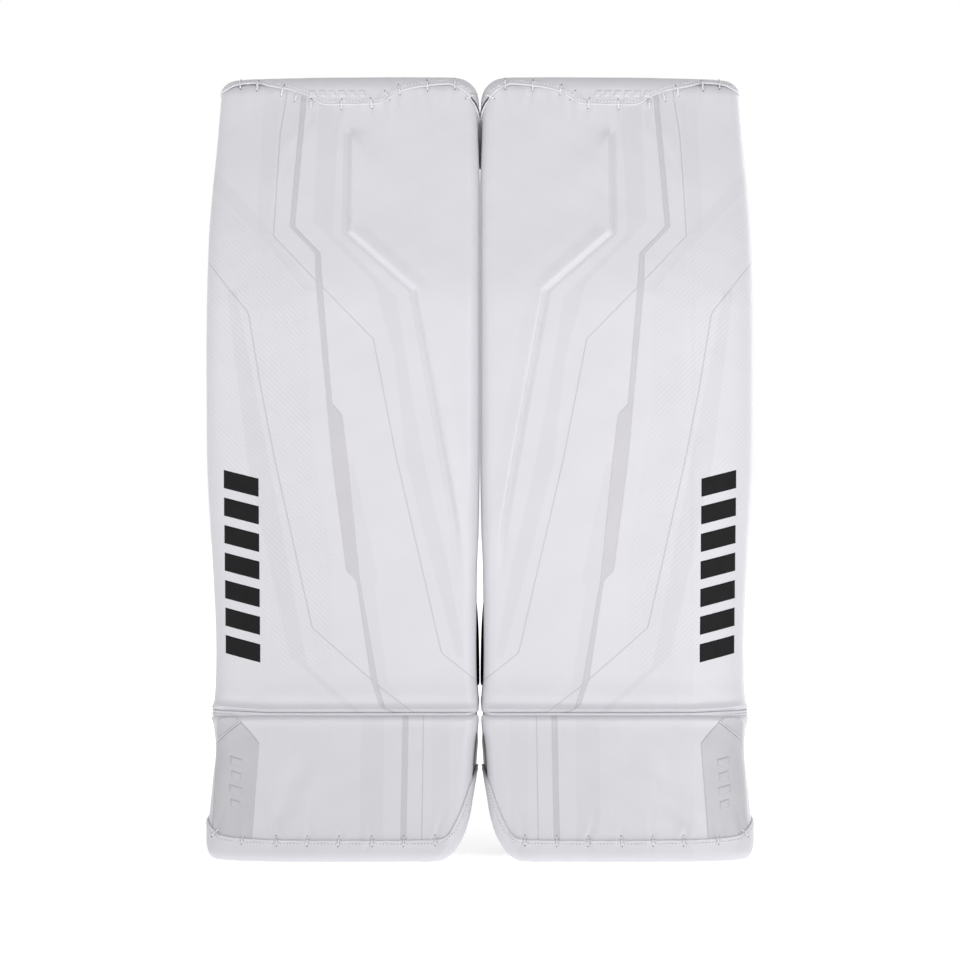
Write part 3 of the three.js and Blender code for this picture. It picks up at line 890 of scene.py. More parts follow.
def face_leather():
    """The strike face: white leather with an inlaid grey stripe, fine lines, tone bands, a hatch, and
    painted shade along the foot of the raised edge.
    """
    finish = Finish("strike_face", **WHITE_COAT)
    pebble = leather_grain(finish)
    u, z = finish.u, finish.z
    stripe = between(finish, STRIPE_OUTER, STRIPE_INNER)
    outline = line(finish, STRIPE_OUTER, 1.0) + line(finish, STRIPE_INNER, 1.0)
    seams = (line(finish, LINE_A, 1.1) + line(finish, LINE_B, 1.3) * z.below(LINE_B_TOP, 1)) * (1 - stripe)
    tone = 0
    for strength, outer, inner in TONE_BANDS:
        ends = z.below(outer[0][1], 3) * z.above(outer[-1][1], 3)
        tone = between(finish, outer, inner, 1.2) * ends * strength + tone
    diagonal = ((u - z) * (1 / (HATCH_PITCH * math.sqrt(2)))).fraction()
    area = u.above(finish.curve(HATCH_INNER), 1) * z.above(HATCH_FOOT, 10)
    area = area * u.above(finish.curve(HATCH_TOP), 4)
    hatch = (diagonal - 0.5).abs().below(0.09, 0.08) * area * u.below(HATCH_OUTER, 6)
    # Painted shade: the leather is darkened in a band beside the raised edge, where its step would throw
    # shade.
    shade = between(finish, RAISED_FOOT, RAISED_EDGE, 0.5)
    shade = shade * z.below(SHADE_TOP, 3) * z.above(SHADE_FOOT, 120)
    dark = tone + seams * SEAM_INK + outline * OUTLINE_INK + hatch * HATCH_INK + shade * PAINTED_SHADE_DARKNESS
    marked = finish.mix(dark.math("MULTIPLY", 1.0, clamp=True), white_ground(finish), INK)
    finish.set(Base_Color=finish.mix(stripe, marked, STRIPE_GREY))
    finish.set(Roughness=white_roughness(finish, pebble) + stripe * -0.06 + 0.36)
    finish.bump(1 - (seams + outline + hatch * 0.35).math("MULTIPLY", 1.0, clamp=True), 0.22)
    return finish


# On the boot the marks run from its top to the floor: (u at the top, u at the floor).
BOOT_TOP = 148
BOOT_STRIPE_OUTER = (76.9, 78.9)
BOOT_STRIPE_INNER = (71.8, 73.8)
BOOT_LINE = (56.1, 57.7)
BOOT_BANDS = [(0.04, (120.2, 120.2), (96.4, 96.4)), (0.025, (47.2, 47.2), (29.7, 29.7))]
# The boot's skin is coloured black on its inner wall behind this depth, on the wall that faces the other
# pad.
BLACK_WALL_DEPTH = 15
BLACK_WALL_U = 40


def down_boot(ends):
    return [(ends[0], BOOT_TOP), (ends[1], 0)]


def boot_leather():
    """The boot's face: the same leather and stripe, coloured black on its inner wall."""
    finish = Finish("boot_face", **WHITE_COAT)
    pebble = leather_grain(finish)
    edges = down_boot(BOOT_STRIPE_OUTER), down_boot(BOOT_STRIPE_INNER)
    stripe = between(finish, *edges)
    outline = line(finish, edges[0], 1.0) + line(finish, edges[1], 1.0)
    thin = line(finish, down_boot(BOOT_LINE), 1.0)
    bands = 0
    for strength, outer, inner in BOOT_BANDS:
        bands = between(finish, down_boot(outer), down_boot(inner), 1.2) * strength + bands
    dark = bands + thin * SEAM_INK + outline * SEAM_INK
    marked = finish.mix(dark, white_ground(finish), INK)
    depth = finish.y - (finish.z * (BOOT_LEAN / BREAK_Z) + (SHIN_FACE_Y - BOOT_FORWARD))
    wall = depth.above(BLACK_WALL_DEPTH, 0.6) * finish.u.below(BLACK_WALL_U, 1)
    coloured = finish.mix(stripe, marked, STRIPE_GREY)
    finish.set(Base_Color=finish.mix(wall, coloured, (*BLACK, 1)))
    finish.set(Roughness=white_roughness(finish, pebble) + 0.36)
    finish.bump(1 - (outline + thin).math("MULTIPLY", 1.0, clamp=True), 0.22)
    return finish


# Each finish: its material, and the CAD material slot that it stands for.
FINISHES = {
    "leather": (white_leather().material, "white_leather"),
    "face": (face_leather().material, "white_leather"),
    "boot": (boot_leather().material, "white_leather"),
    "black": (black_leather().material, "black_leather"),
    "print": (black_leather("printed_black", gloss=0.12).material, "black_leather"),
    "badge": (grey_leather().material, "grey_leather"),
    "nylon": (black_nylon().material, "black_nylon"),
    "webbing": (black_webbing().material, "black_webbing"),
    "lace": (thread("white_lace", (0.86, 0.86, 0.86)).material, "white_lace"),
    "black_thread": (thread("grey_thread", (0.11, 0.11, 0.115)).material, "black_nylon"),
    # Painted shade under the cap stitching.
    "seam_shadow": (thread("seam_shadow", (0.34, 0.335, 0.35)).material, "white_lace"),
    # Painted shade in each lace hole.
    "hole_shade": (thread("lace_hole_painted_shade", (0.16, 0.16, 0.165)).material, "white_lace"),
    "board": (board_finish().material, "stiffener_plastic"),
}


def finish_of(key):
    return FINISHES[key][0]


def settle(obj, body, key, *replaced):
    """Sets a finished piece on its body, and hides the CAD pieces that it replaces."""
    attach(obj, body)
    if replaced:
        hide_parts(*replaced)
    return obj


def on_both(name, body, key, points, faces, *replaced, sharp=None, fill=None):
    """The same piece on both pads. body and replaced are names without their side."""
    label = f"{name}_form" if name in replaced else name
    made = []
    for side in SIGN:
        obj = add_mesh(label, side, points, faces, finish_of(key), sharp)
        settle(obj, f"{side}_{body}", key, *(f"{side}_{node}" for node in replaced))
        made.append(obj)
    return made


# ---- stitches along the caps ------------------------------------------------------------------

PIPING_RADIUS = 1.25
STITCH_SPACING = 3.5
STITCH_LENGTH = 2.5
STITCH_INSET = 3.2


THREAD_RADIUS = 0.48
# One stitch: places along it, how far each stands off the surface, and how thick it is there.
STITCH_ENDS = (-0.5, -0.3, 0, 0.3, 0.5)
STITCH_LIFT = (-0.25, 0.1, 0.22, 0.1, -0.25)
STITCH_SWELL = (0.5, 1, 1.05, 1, 0.5)


def running_stitch(path, normals, parts, radius=THREAD_RADIUS, length=STITCH_LENGTH, spacing=STITCH_SPACING):
    """Short threads that lie along a path, dipping into it at both ends."""
    rows = resample(np.concatenate([path, normals], axis=1), spacing)
    for a, b in zip(rows, rows[1:]):
        along = (b[:3] - a[:3]) / (np.linalg.norm(b[:3] - a[:3]) + 1e-9)
        out = a[3:] / (np.linalg.norm(a[3:]) + 1e-9)
        middle = (a[:3] + b[:3]) / 2
        thread_path = [middle + along * length * e + out * h for e, h in zip(STITCH_ENDS, STITCH_LIFT)]
        parts.tube(thread_path, [radius * t for t in STITCH_SWELL], sides=6)


def back_stitch(path, parts, **sizes):
    """A running stitch along a path on a surface that looks backwards."""
    path = np.array(path, float)
    running_stitch(path, np.tile([0, 1.0, 0], (len(path), 1)), parts, **sizes)


def beside_cap(top, offset, lift):
    """A line along a cap, offset from its edge towards its closed end, and its outward normals. It
    takes smaller steps round the inner corner."""
    c = np.sort(np.concatenate([np.linspace(0.02, 4.98, 420), np.linspace(1.3, 2.15, 160)]))
    z = cap_edge(c, top)
    small = 0.01
    stretch = np.linalg.norm(skin(z, c + small) - skin(z, c - small), axis=-1) / (2 * small)
    run, rise = np.gradient(c) * stretch, np.gradient(z)
    toward = (offset if top else -offset) / np.hypot(run, rise)
    c, z = c - toward * rise / stretch, z + toward * run
    path = lifted(z, c, lift)
    return path, lifted(z, c, lift + 1) - path


LACE_RADIUS = 0.85
LACE_REACH = 4.8
HOLE_RADIUS = 0.75
HOLE_SIDES = 12
HOLE_BEYOND = 0.3


def lace_hole(u, z, lift, holes):
    """A small punched hole, drawn as a dark disc set in the skin: painted shade where the hole is."""
    profile = ((HOLE_RADIUS, -0.5), (HOLE_RADIUS, 0.12), (HOLE_RADIUS * 0.5, 0.05))
    turn = np.arange(HOLE_SIDES) / HOLE_SIDES * 2 * math.pi
    rings = [on_skin(u + r * np.cos(turn), z + r * np.sin(turn), lift + h) for r, h in profile]
    holes.add(*stacked(rings))


def lacing(top, body, node):
    """Cords that cross a cap's edge from hole to hole."""
    lace, holes = Parts(), Parts()
    toward = 1 if top else -1
    edge_at = top_edge if top else bottom_edge
    t = np.linspace(-1, 1, 11)
    lift = CAP_LIFT * step((t + 0.35) / 0.6) + 2.0 * (1 - t**4) - 1.1 + 0.9 * bell(t, 0.35)
    for i, u in enumerate(TOP_STITCHES if top else BOTTOM_STITCHES):
        middle = float(edge_at(u)) + toward * 0.2
        slope = math.atan(float(edge_at(u + 2) - edge_at(u - 2)) / 4)
        across = u - toward * math.sin(slope) * t * LACE_REACH + t * 0.5 * math.sin(i * 2.1)
        up = middle + toward * math.cos(slope) * t * LACE_REACH
        lace.tube(on_skin(across, up, lift), LACE_RADIUS, sides=8)
        lace_hole(across[0], up[0] - toward * HOLE_BEYOND, 0.0, holes)
        lace_hole(across[-1], min(up[-1] + toward * HOLE_BEYOND, FORM_TOP), CAP_LIFT, holes)
    name = "top" if top else "bottom"
    lace.on_both(f"{name}_lacing", body, "lace", node)
    holes.on_both(f"{name}_lace_holes", body, "hole_shade")


def cap_trim(top, body, node):
    """The piping, running stitch and lacing along a cap's edge, with a grey cord of painted shade under the
    running stitch.
    """
    name = "top" if top else "bottom"
    edge, _ = beside_cap(top, 0.2, 1.0)
    piping, stitches, groove = Parts(), Parts(), Parts()
    piping.tube(resample(edge, 2.0), PIPING_RADIUS, sides=10)
    piping.on_both(f"{name}_cap_piping", body, "leather")
    running_stitch(*beside_cap(top, STITCH_INSET, CAP_LIFT), stitches)
    stitches.on_both(f"{name}_cap_stitching", body, "lace")
    # A grey cord set into the cap under the running stitch: painted shade along the stitch line.
    groove.tube(resample(beside_cap(top, STITCH_INSET, CAP_LIFT - 0.4)[0], 2.0), 0.5, sides=8)
    groove.on_both(f"{name}_cap_stitch_line", body, "seam_shadow")
    lacing(top, body, node)


def overlock(body):
    """The zigzag thread that finishes the top cap's edge down the pad's inner side."""
    c = np.linspace(0.1, 1.7, 90)
    swing = 1.5 * np.where(np.arange(len(c)) % 2 == 0, 1, -1)
    zigzag = Parts()
    zigzag.tube(lifted(cap_edge(c, True) + 1.2 + swing, c, CAP_LIFT + 0.35), 0.4, sides=6)
    zigzag.on_both("top_cap_overlock", body, "black_thread")


CAP_MARKS = 6
CAP_MARK_START, CAP_MARK_PITCH, CAP_MARK_WIDTH, CAP_MARK_SLANT = 116, 10.2, 6.4, 2.2
CAP_MARK_LOW, CAP_MARK_HIGH = 783, 789.5


def cap_marks(body):
    """Plain slanting bars embossed on the top cap."""
    bars = Parts()
    for i in range(CAP_MARKS):
        u = CAP_MARK_START + i * CAP_MARK_PITCH
        low = [(u, CAP_MARK_LOW), (u + CAP_MARK_WIDTH, CAP_MARK_LOW)]
        high = [(p + CAP_MARK_SLANT, CAP_MARK_HIGH) for p, _ in low]
        patch(bars, low, high, CAP_LIFT, 0.7, (8, 8))
    bars.on_both("top_cap_marks", body, "leather")


# ---- badge and marks --------------------------------------------------------------------------

def points_along(line, s):
    """Points along a line of points, spread evenly from one to the next."""
    line = np.array(line, float)
    at = s * (len(line) - 1)
    return np.stack([np.interp(at, np.arange(len(line)), line[:, k]) for k in (0, 1)], -1)


def patch(parts, low, high, lift, thickness, cells=(14, 14), soft=0.8):
    """A thin piece that lies on the skin, between a lower and an upper line of points (u, z)."""
    s = np.linspace(0, 1, cells[0] + 1)[None, :, None]
    t = np.linspace(0, 1, cells[1] + 1)[:, None, None]
    flat = points_along(low, s[..., 0]) * (1 - t) + points_along(high, s[..., 0]) * t
    edge = np.minimum(np.minimum(s, 1 - s), np.minimum(t, 1 - t))[..., 0]
    rise = thickness * np.clip(edge / 0.06, 0, 1) ** 0.5 * soft + thickness * (1 - soft)
    front = on_skin(flat[..., 0], flat[..., 1], lift + rise)
    back = on_skin(flat[..., 0], flat[..., 1], lift - 0.6)
    parts.add(*closed_form(front, back))


BAR_RANGE = (200, 398)
BAR_COUNT = 7
BAR_EDGES = (221.5, 258)
BAR_SLANT = 9


def side_marks():
    """A row of plain slanting bars up the outer roll."""
    bars = Parts()
    pitch = (BAR_RANGE[1] - BAR_RANGE[0]) / BAR_COUNT
    for i in range(BAR_COUNT):
        low = BAR_RANGE[0] + i * pitch
        high = low + pitch * 0.66
        inner, outer = (edge + 3.0 * low / 300 for edge in BAR_EDGES)
        lower, upper = [(inner, low), (outer, low + BAR_SLANT)], [(inner, high), (outer, high + BAR_SLANT)]
        patch(bars, lower, upper, 0.0, 0.45, (20, 14))
    bars.on_both("outer_marks", "shin", "print")


# The badge on the boot and the tab above it, as (u, z), and its row of plain marks.
BADGE_TOP = [(223.5, 118.5), (233, 129.5), (242.9, 139.8), (256, 129.5), (268.6, 117.5)]
BADGE_FOOT = [(229.5, 21), (250.5, 21), (271.5, 24)]
TAB_TOP = [(248, 143.6), (258, 144), (265, 143), (268.5, 138)]
TAB_FOOT = [(244.6, 140.8), (253, 134), (261, 127.5), (268.6, 121)]
BADGE_PIPING = [(242.9, 140.5), (268.6, 119.5)]
BADGE_MARKS = 4
BADGE_MARK_U = 247
BADGE_MARK_START, BADGE_MARK_PITCH, BADGE_MARK_HEIGHT = 52, 14, 8


def badge():
    plate, marks, tab, edge = Parts(), Parts(), Parts(), Parts()
    patch(plate, BADGE_FOOT, BADGE_TOP, 0.0, 0.35, (32, 60), 0.3)
    for i in range(BADGE_MARKS):
        low = BADGE_MARK_START + i * BADGE_MARK_PITCH
        wide = 5 + 1.5 * (i % 2)
        lower = [(BADGE_MARK_U - wide, low), (BADGE_MARK_U + wide, low + 3)]
        patch(marks, lower, [(u, z + BADGE_MARK_HEIGHT) for u, z in lower], 0.2, 0.8, (8, 8))
    patch(tab, TAB_FOOT, TAB_TOP, 0.0, 0.35, (30, 16), 0.3)
    piping = points_along(BADGE_PIPING, np.linspace(0, 1, 30))
    edge.tube(on_skin(piping[:, 0], piping[:, 1], 0.9), 0.55, sides=6)
    plate.on_both("badge", "boot", "badge")
    marks.on_both("badge_marks", "boot", "badge")
    tab.on_both("badge_tab", "boot", "badge")
    edge.on_both("badge_piping", "boot", "leather")


# ---- front of the pads ------------------------------------------------------------------------

# The two forms stop short of the crease, so that they clear each other when the boot flexes.
SHIN_GAP, BOOT_GAP = 0.6, 0.8
shin = padded_form(312, BREAK_Z + SHIN_GAP, FORM_TOP, SHIN_RISE, 0)
boot = padded_form(72, 1.5, BREAK_Z - BOOT_GAP, 0, BOOT_FALL)
on_both("shin", "shin", "face", *shin, "shin_cover", "shin_core", "outer_roll", sharp=50, fill=0.9)
on_both("boot", "boot", "boot", *boot, "boot_cover", "boot_core", sharp=50, fill=0.9)
cap("cap_over_top", "shin", True, PAD_TOP - 32, "top_cap")
cap("cap_under_boot", "boot", False, 27.0, "bottom_cap")
cap_trim(True, "shin", "top_lacing")
cap_trim(False, "boot", "bottom_lacing")
overlock("shin")
cap_marks("shin")
side_marks()
badge()


# ---- stuffed forms ----------------------------------------------------------------------------

VOXEL = 4.5
PRESSURE = 4.0
SWELL_FRAMES = 20


def mesh_of(obj):
    """The finished mesh of an object, in pad coordinates of the left side."""
    depsgraph = bpy.context.evaluated_depsgraph_get()
    data = obj.evaluated_get(depsgraph).to_mesh()
    points = np.array([v.co for v in data.vertices]) / MM
    points[:, 0] -= HALF_GAP
    faces = [list(p.vertices) for p in data.polygons]
    return points, faces


def temporary(points, faces):
    """An object that lives only while a form is worked out."""
    data = bpy.data.meshes.new("form")
    data.from_pydata(to_frame(points, "left").tolist(), [], faces)
    data.update()
    return linked("form", data)


def normals_of(points, faces):
    corners = points[np.array([[f[0], f[1], f[2], f[-1]] for f in faces])]
    flat = np.cross(corners[:, 2] - corners[:, 0], corners[:, 3] - corners[:, 1])
    total = np.zeros_like(points)
    for i, face in enumerate(faces):
        total[face] += flat[i]
    return total / (np.linalg.norm(total, axis=1, keepdims=True) + 1e-12)


def simulate(points, faces, reach):
    """Cloth under pressure, moved no further than reach from where it began."""
    obj = temporary(points, faces)
    cloth = obj.modifiers.new("cloth", "CLOTH")
    cloth.settings.use_pressure = True
    cloth.settings.uniform_pressure_force = PRESSURE
    cloth.settings.effector_weights.gravity = 0
    cloth.settings.quality = 4
    scene = bpy.context.scene
    for number in range(1, SWELL_FRAMES + 1):
        scene.frame_set(number)
    moved = mesh_of(obj)[0] - points
    bpy.data.objects.remove(obj)
    scene.frame_set(1)
    length = np.linalg.norm(moved, axis=1, keepdims=True)
    return points + moved * np.minimum(1, reach / (length + 1e-9))


def stuffed(node, shrink, reach, proud=0.0):
    """The CAD solid of a stuffed piece, drawn in, filled out as cloth under pressure, and fitted
    to the solid's own box, or a little proud of its sides."""
    source = linked("source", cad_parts[node].data.copy())
    remesh = source.modifiers.new("remesh", "REMESH")
    remesh.mode = "VOXEL"
    remesh.voxel_size = VOXEL * MM
    soften = source.modifiers.new("soften", "SMOOTH")
    soften.iterations = 3
    points, faces = mesh_of(source)
    bpy.data.objects.remove(source)
    points = points - normals_of(points, faces) * shrink
    points = simulate(points, faces, reach)
    low, high = (np.array(corner) / MM - [HALF_GAP, 0, 0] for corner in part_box(node))
    low, high = low - [proud, 0, proud], high + [proud, 0, proud]
    least, most = points.min(0), points.max(0)
    points = low + (points - least) * (high - low) / (most - least)
    fine = temporary(points, faces)
    fine.modifiers.new("fine", "SUBSURF").levels = 1
    points, faces = mesh_of(fine)
    bpy.data.objects.remove(fine)
    return points, faces


def near_line(points, paths):
    """Each point's distance from the nearest of some paths."""
    tree = KDTree(sum(len(path) for path in paths))
    count = 0
    for path in paths:
        for point in path:
            tree.insert(point, count)
            count += 1
    tree.balance()
    return np.array([tree.find(point)[2] for point in points])


def sewn(points, faces, paths, depth=1.1, width=2.4):
    """Pulls a stuffed form in along its seams."""
    paths = [resample(path, 1.5) for path in paths]
    away = near_line(points, paths)
    return points - normals_of(points, faces) * (depth * bell(away, width))[:, None]


def seam_stitches(points, faces, paths, parts, **sizes):
    """Running stitches along paths, laid on the form's surface."""
    tree = BVHTree.FromPolygons([Vector(p) for p in points], faces)
    for path in paths:
        found = [tree.find_nearest(Vector(p)) for p in resample(path, 1.5)]
        running_stitch(np.array([f[0] for f in found]), np.array([f[1] for f in found]), parts, **sizes)


def laid(points, faces, loop):
    """A closed path drawn in to the form's surface and evened out."""
    tree = BVHTree.FromPolygons([Vector(p) for p in points], faces)
    spots = np.array([tree.find_nearest(Vector(p))[0] for p in resample(loop, 2.0)[:-1]])
    for _ in range(6):
        spots = spots * 0.5 + (np.roll(spots, 1, 0) + np.roll(spots, -1, 0)) * 0.25
    return spots


def rounded_loop(low, high, corner, fixed, axis=1):
    """A closed rounded rectangle in the plane where one axis is fixed."""
    a_low, b_low = low
    a_high, b_high = high
    points = []
    centres = [(a_high - corner, b_high - corner, 0), (a_low + corner, b_high - corner, 90),
               (a_low + corner, b_low + corner, 180), (a_high - corner, b_low + corner, 270)]
    for a, b, start in centres:
        for turn in range(0, 91, 15):
            angle = math.radians(start + turn)
            points.append((a + corner * math.cos(angle), b + corner * math.sin(angle)))
    points.append(points[0])
    return np.array([np.insert(p, axis, fixed) for p in points])


# ---- knee block and calf landing --------------------------------------------------------------

def box_of(node):
    """A left-hand CAD piece's box, as two corners (u, y, z)."""
    low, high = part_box(node)
    return np.array(low) / MM - [HALF_GAP, 0, 0], np.array(high) / MM - [HALF_GAP, 0, 0]


FLATNESS = 0.8
FLATNESS_REACH = 11.0
WELT_RADIUS = 1.5
WELT_INSET = 2.2
BLOCK_BORDER = 9


def block(name, key, seams_at=(), proud=1.0):
    """A box-shaped cushion with a welt round each face and seams across its back. Its inner side,
    which lies against the other pad, is kept flat."""
    low, high = box_of(f"left_{name}")
    points, faces = stuffed(f"left_{name}", 1.8, 6.0, proud)
    within = points[:, 0] - low[0] + proud
    points[:, 0] -= within * FLATNESS * (1 - step(within / FLATNESS_REACH))

    def loop_at(inset, corner, y):
        return rounded_loop((low[0] + inset, low[2] + inset), (high[0] - inset, high[2] - inset), corner, y)

    welts = [loop_at(0.6, 9, y) for y in (low[1] + WELT_INSET, high[1] - WELT_INSET)]
    seams = [[(low[0] + 8, high[1], z), (high[0] - 8, high[1], z)] for z in seams_at]
    border = loop_at(BLOCK_BORDER, 6, high[1])
    points = sewn(points, faces, [*seams, border])
    welt, stitches = Parts(), Parts()
    for loop in welts:
        welt.tube(laid(points, faces, loop), WELT_RADIUS, sides=10, closed=True)
    seam_stitches(points, faces, [*seams, border], stitches)
    on_both(name, "shin", key, points, faces, name, fill=0.85)
    welt.on_both(f"{name}_welt", "shin", "black")
    stitches.on_both(f"{name}_stitching", "shin", "black_thread")


# ---- wings ------------------------------------------------------------------------------------

BINDING_RADIUS = 2.4
WING_CHAMFER = 8
# Each wing's middle line seen from above, as (u, d) from where it is sewn on to its tip, and the
# same on its outer face.
WINGS = {
    "knee_wing": ([(263, 58), (263, 98), (250, 112), (226, 112)],
                  [(268, 60), (268, 98), (254, 117), (232, 117)]),
    "outer_calf_wing": ([(263, 58), (263, 117), (250, 131), (224, 131)],
                        [(268, 60), (268, 117), (254, 136), (230, 136)]),
    "inner_calf_wing": ([(9, 88), (9, 117), (18, 131), (58, 131)],
                        [(4, 92), (4, 117), (16, 136), (52, 136)]),
}


def wing(name, turns, face_turns):
    """A stuffed wing with bound edges, a sewn border and two sewn ribs, on the body of its name."""
    low, high = box_of(f"left_{name}")
    points, faces = stuffed(f"left_{name}", 1.5, 3.4)
    z0, z1 = low[2], high[2]

    def border(line, inset):
        path = [(u, SHIN_FACE_Y + d) for u, d in line]
        lower = [(*path[0], z0 + inset), (*path[1], z0 + inset)]
        lower += [(*p, z0 + inset + WING_CHAMFER) for p in path[2:]]
        upper = [(u, y, z1 + z0 - z) for u, y, z in lower]
        return resample([*lower, *upper[::-1]], 2.0)

    seam = border(face_turns, 9.0)
    middle = [(z0 + z1) / 2 + k * (z1 - z0) / 3.4 for k in (-0.5, 0.5)]
    ribs = [resample([(u, SHIN_FACE_Y + d, z) for u, d in face_turns[:-1]], 2.0) for z in middle]
    points = sewn(points, faces, [seam, *ribs])
    edge, stitches = Parts(), Parts()
    edge.tube(border(turns, 1.6), BINDING_RADIUS, sides=10)
    seam_stitches(points, faces, [seam, *ribs], stitches)
    on_both(name, name, "nylon", points, faces, name, fill=0.8)
    edge.on_both(f"{name}_binding", name, "black")
    stitches.on_both(f"{name}_stitching", name, "black_thread")


# A boot wing seen from the side, as (y, z): its bound edge, its sewn border and a seam across it.
BOOT_WING_EDGE = [(-30.5, 3), (36, 3), (43.5, 15), (43.5, 98), (28, 119), (-3, 119), (-20, 30), (-27, 24)]
BOOT_WING_BORDER = [(-16, 12), (33, 12), (35, 20), (35, 94), (24, 110), (4, 110), (-9, 34), (-16, 12)]
BOOT_WING_SEAM = [(-5, 48), (35, 48)]


def boot_wing(name):
    """A stuffed flat wing beside the skate, with a bound edge."""
    low, high = box_of(f"left_{name}")
    points, faces = stuffed(f"left_{name}", 1.6, 3.6)
    middle_u = (low[0] + high[0]) / 2
    outer_u = high[0] if name.startswith("outer") else low[0]
    edge, stitches = Parts(), Parts()
    outline = resample([(middle_u, y, z) for y, z in [*BOOT_WING_EDGE, BOOT_WING_EDGE[0]]], 2.0)
    edge.tube(outline[:-1], BINDING_RADIUS, sides=10, closed=True)
    sewn_lines = BOOT_WING_BORDER, BOOT_WING_SEAM
    seams = [resample([(outer_u, y, z) for y, z in path], 2.0) for path in sewn_lines]
    points = sewn(points, faces, seams)
    seam_stitches(points, faces, seams, stitches)
    on_both(name, "boot", "nylon", points, faces, name, fill=0.8)
    edge.on_both(f"{name}_binding", "boot", "black")
    stitches.on_both(f"{name}_stitching", "boot", "black_thread")


# ---- back panels ------------------------------------------------------------------------------

CHANNEL_U = (78, 232)
CHANNEL_TOP = 640
CHANNEL_DEPTH = 2.6
CHANNEL_RIBS = 6
RIB_HEIGHT = 1.5
TUFT_PITCH = 64
DIAMOND_PITCH = 46
PANEL_GAP = 0.6
PANEL_EDGE_DEPTH = 49.5
PANEL_SWELL = 6.0
PANEL_EDGE = 9
PANEL_SEAM = 13
PANEL_COLUMNS = 132


def panel_sides(z):
    return inner_edge(z) + WALL + PANEL_GAP, outer_edge(z) - WALL - PANEL_GAP


def panel_depth(u, z, low, high):
    """Depth of a quilted back panel: a field of sewn diamonds with soft edges, and a ribbed channel
    for the leg."""
    inner, outer = panel_sides(z)
    edge = np.minimum(np.minimum(u - inner, outer - u), np.minimum(z - low, high - z))
    depth = PANEL_EDGE_DEPTH + PANEL_SWELL * quarter_round(edge / PANEL_EDGE)
    inside = step((u - CHANNEL_U[0]) / 8) * step((CHANNEL_U[1] - u) / 8) * step((CHANNEL_TOP - z) / 8)
    rib = ((u - CHANNEL_U[0]) / (CHANNEL_U[1] - CHANNEL_U[0]) * CHANNEL_RIBS) % 1
    tuft = 0.5 * bell((z % TUFT_PITCH) - TUFT_PITCH / 2, 1.6)
    quilt = -1.6 + RIB_HEIGHT * np.sqrt(np.clip(1 - (2 * rib - 1) ** 2, 0, 1)) - tuft
    depth = depth - CHANNEL_DEPTH * inside + quilt * inside
    field = step((z - CHANNEL_TOP - 4) / 6)
    rising, falling = (np.abs((way / DIAMOND_PITCH) % 1 - 0.5) for way in (u + z, u - z))
    diamond = np.minimum(rising, falling) * DIAMOND_PITCH
    depth -= field * 1.1 * bell(diamond, 2.0) * step((edge - PANEL_SEAM - 1) / 6)
    depth -= 1.0 * bell(edge - PANEL_SEAM, 1.7)
    return depth


def back_panel(name, low, high, rows, body):
    """A quilted panel across the back, with a stitched seam and a binding down both sides."""
    z = np.linspace(low, high, rows + 1)[:, None] + np.zeros((1, PANEL_COLUMNS + 1))
    inner, outer = panel_sides(z)
    u = inner + (outer - inner) * np.linspace(0, 1, PANEL_COLUMNS + 1)[None, :]
    rear = np.stack([u, face_y(z) + panel_depth(u, z, low, high), z], -1)
    plane = rear[::COARSE, ::COARSE].copy()
    plane[..., 1] = face_y(z[::COARSE, ::COARSE]) + FORM_BACK + 0.1
    on_both(name, body, "nylon", *closed_form(rear, plane), name, sharp=60, fill=0.7)
    stitches, binding = Parts(), Parts()
    seam_z = np.linspace(low + PANEL_SEAM, high - PANEL_SEAM, 160)
    binding_z = np.linspace(low + 1, high - 1, 160)
    for edge, toward in ((inner_edge, 1), (outer_edge, -1)):
        seam_u = edge(seam_z) + toward * (WALL + PANEL_GAP + PANEL_SEAM)
        seam_d = panel_depth(seam_u, seam_z, low, high)
        back_stitch(np.stack([seam_u, face_y(seam_z) + seam_d, seam_z], -1), stitches)
        binding_u = edge(binding_z) + toward * (WALL * 0.5 + PANEL_GAP)
        binding_y = face_y(binding_z) + WALL_BACK + 0.4
        binding.tube(np.stack([binding_u, binding_y, binding_z], -1), 2.0, sides=8)
    stitches.on_both(f"{name}_stitching", body, "black_thread")
    binding.on_both(f"{name}_binding", body, "black")


# ---- boot crease ------------------------------------------------------------------------------

def bellows():
    """The soft folds that fill the opening at the boot crease."""
    c = columns((16, 8, 60, 24, 12))[None, :]
    w = np.linspace(-1, 1, 25)[:, None]
    depth = section(np.full_like(c, BREAK_Z), c)[1]
    overlap = 0.9
    reach = overlap + np.where(w > 0, SHIN_RISE, BOOT_FALL) * np.clip(depth, 0, None)
    z = BREAK_Z + w * reach
    inset = 3.2 - 1.6 * step(depth / 30) + 1.4 * (1 - np.abs(np.sin(w * math.pi))) * step(depth / 25)
    outside = lifted(z, c, -inset, above=40.0)
    t = np.linspace(0, 1, c.shape[1] // COARSE + 1)[None, :]
    w_back = w[::COARSE]
    back_inset = 4.5
    inner, outer = inner_edge(BREAK_Z) + back_inset, outer_edge(BREAK_Z) - back_inset
    fall = overlap + np.where(w_back > 0, SHIN_RISE, BOOT_FALL) * PANEL_BACK
    z_back = BREAK_Z + w_back * fall + 0 * t
    y_back = face_y(BREAK_Z + 0.1) + 50.5 + 2.5 * np.abs(np.sin(w_back * math.pi)) + 0 * t
    rear = np.stack([inner + (outer - inner) * t + 0 * z_back, y_back, z_back], -1)
    for side in SIGN:
        form = add_mesh("boot_crease", side, *closed_form(outside, rear), finish_of("leather"), sharp=50)
        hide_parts(f"{side}_break_gusset")
        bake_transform(form)


# ---- straps -----------------------------------------------------------------------------------

SLAB_EDGE = 1.6


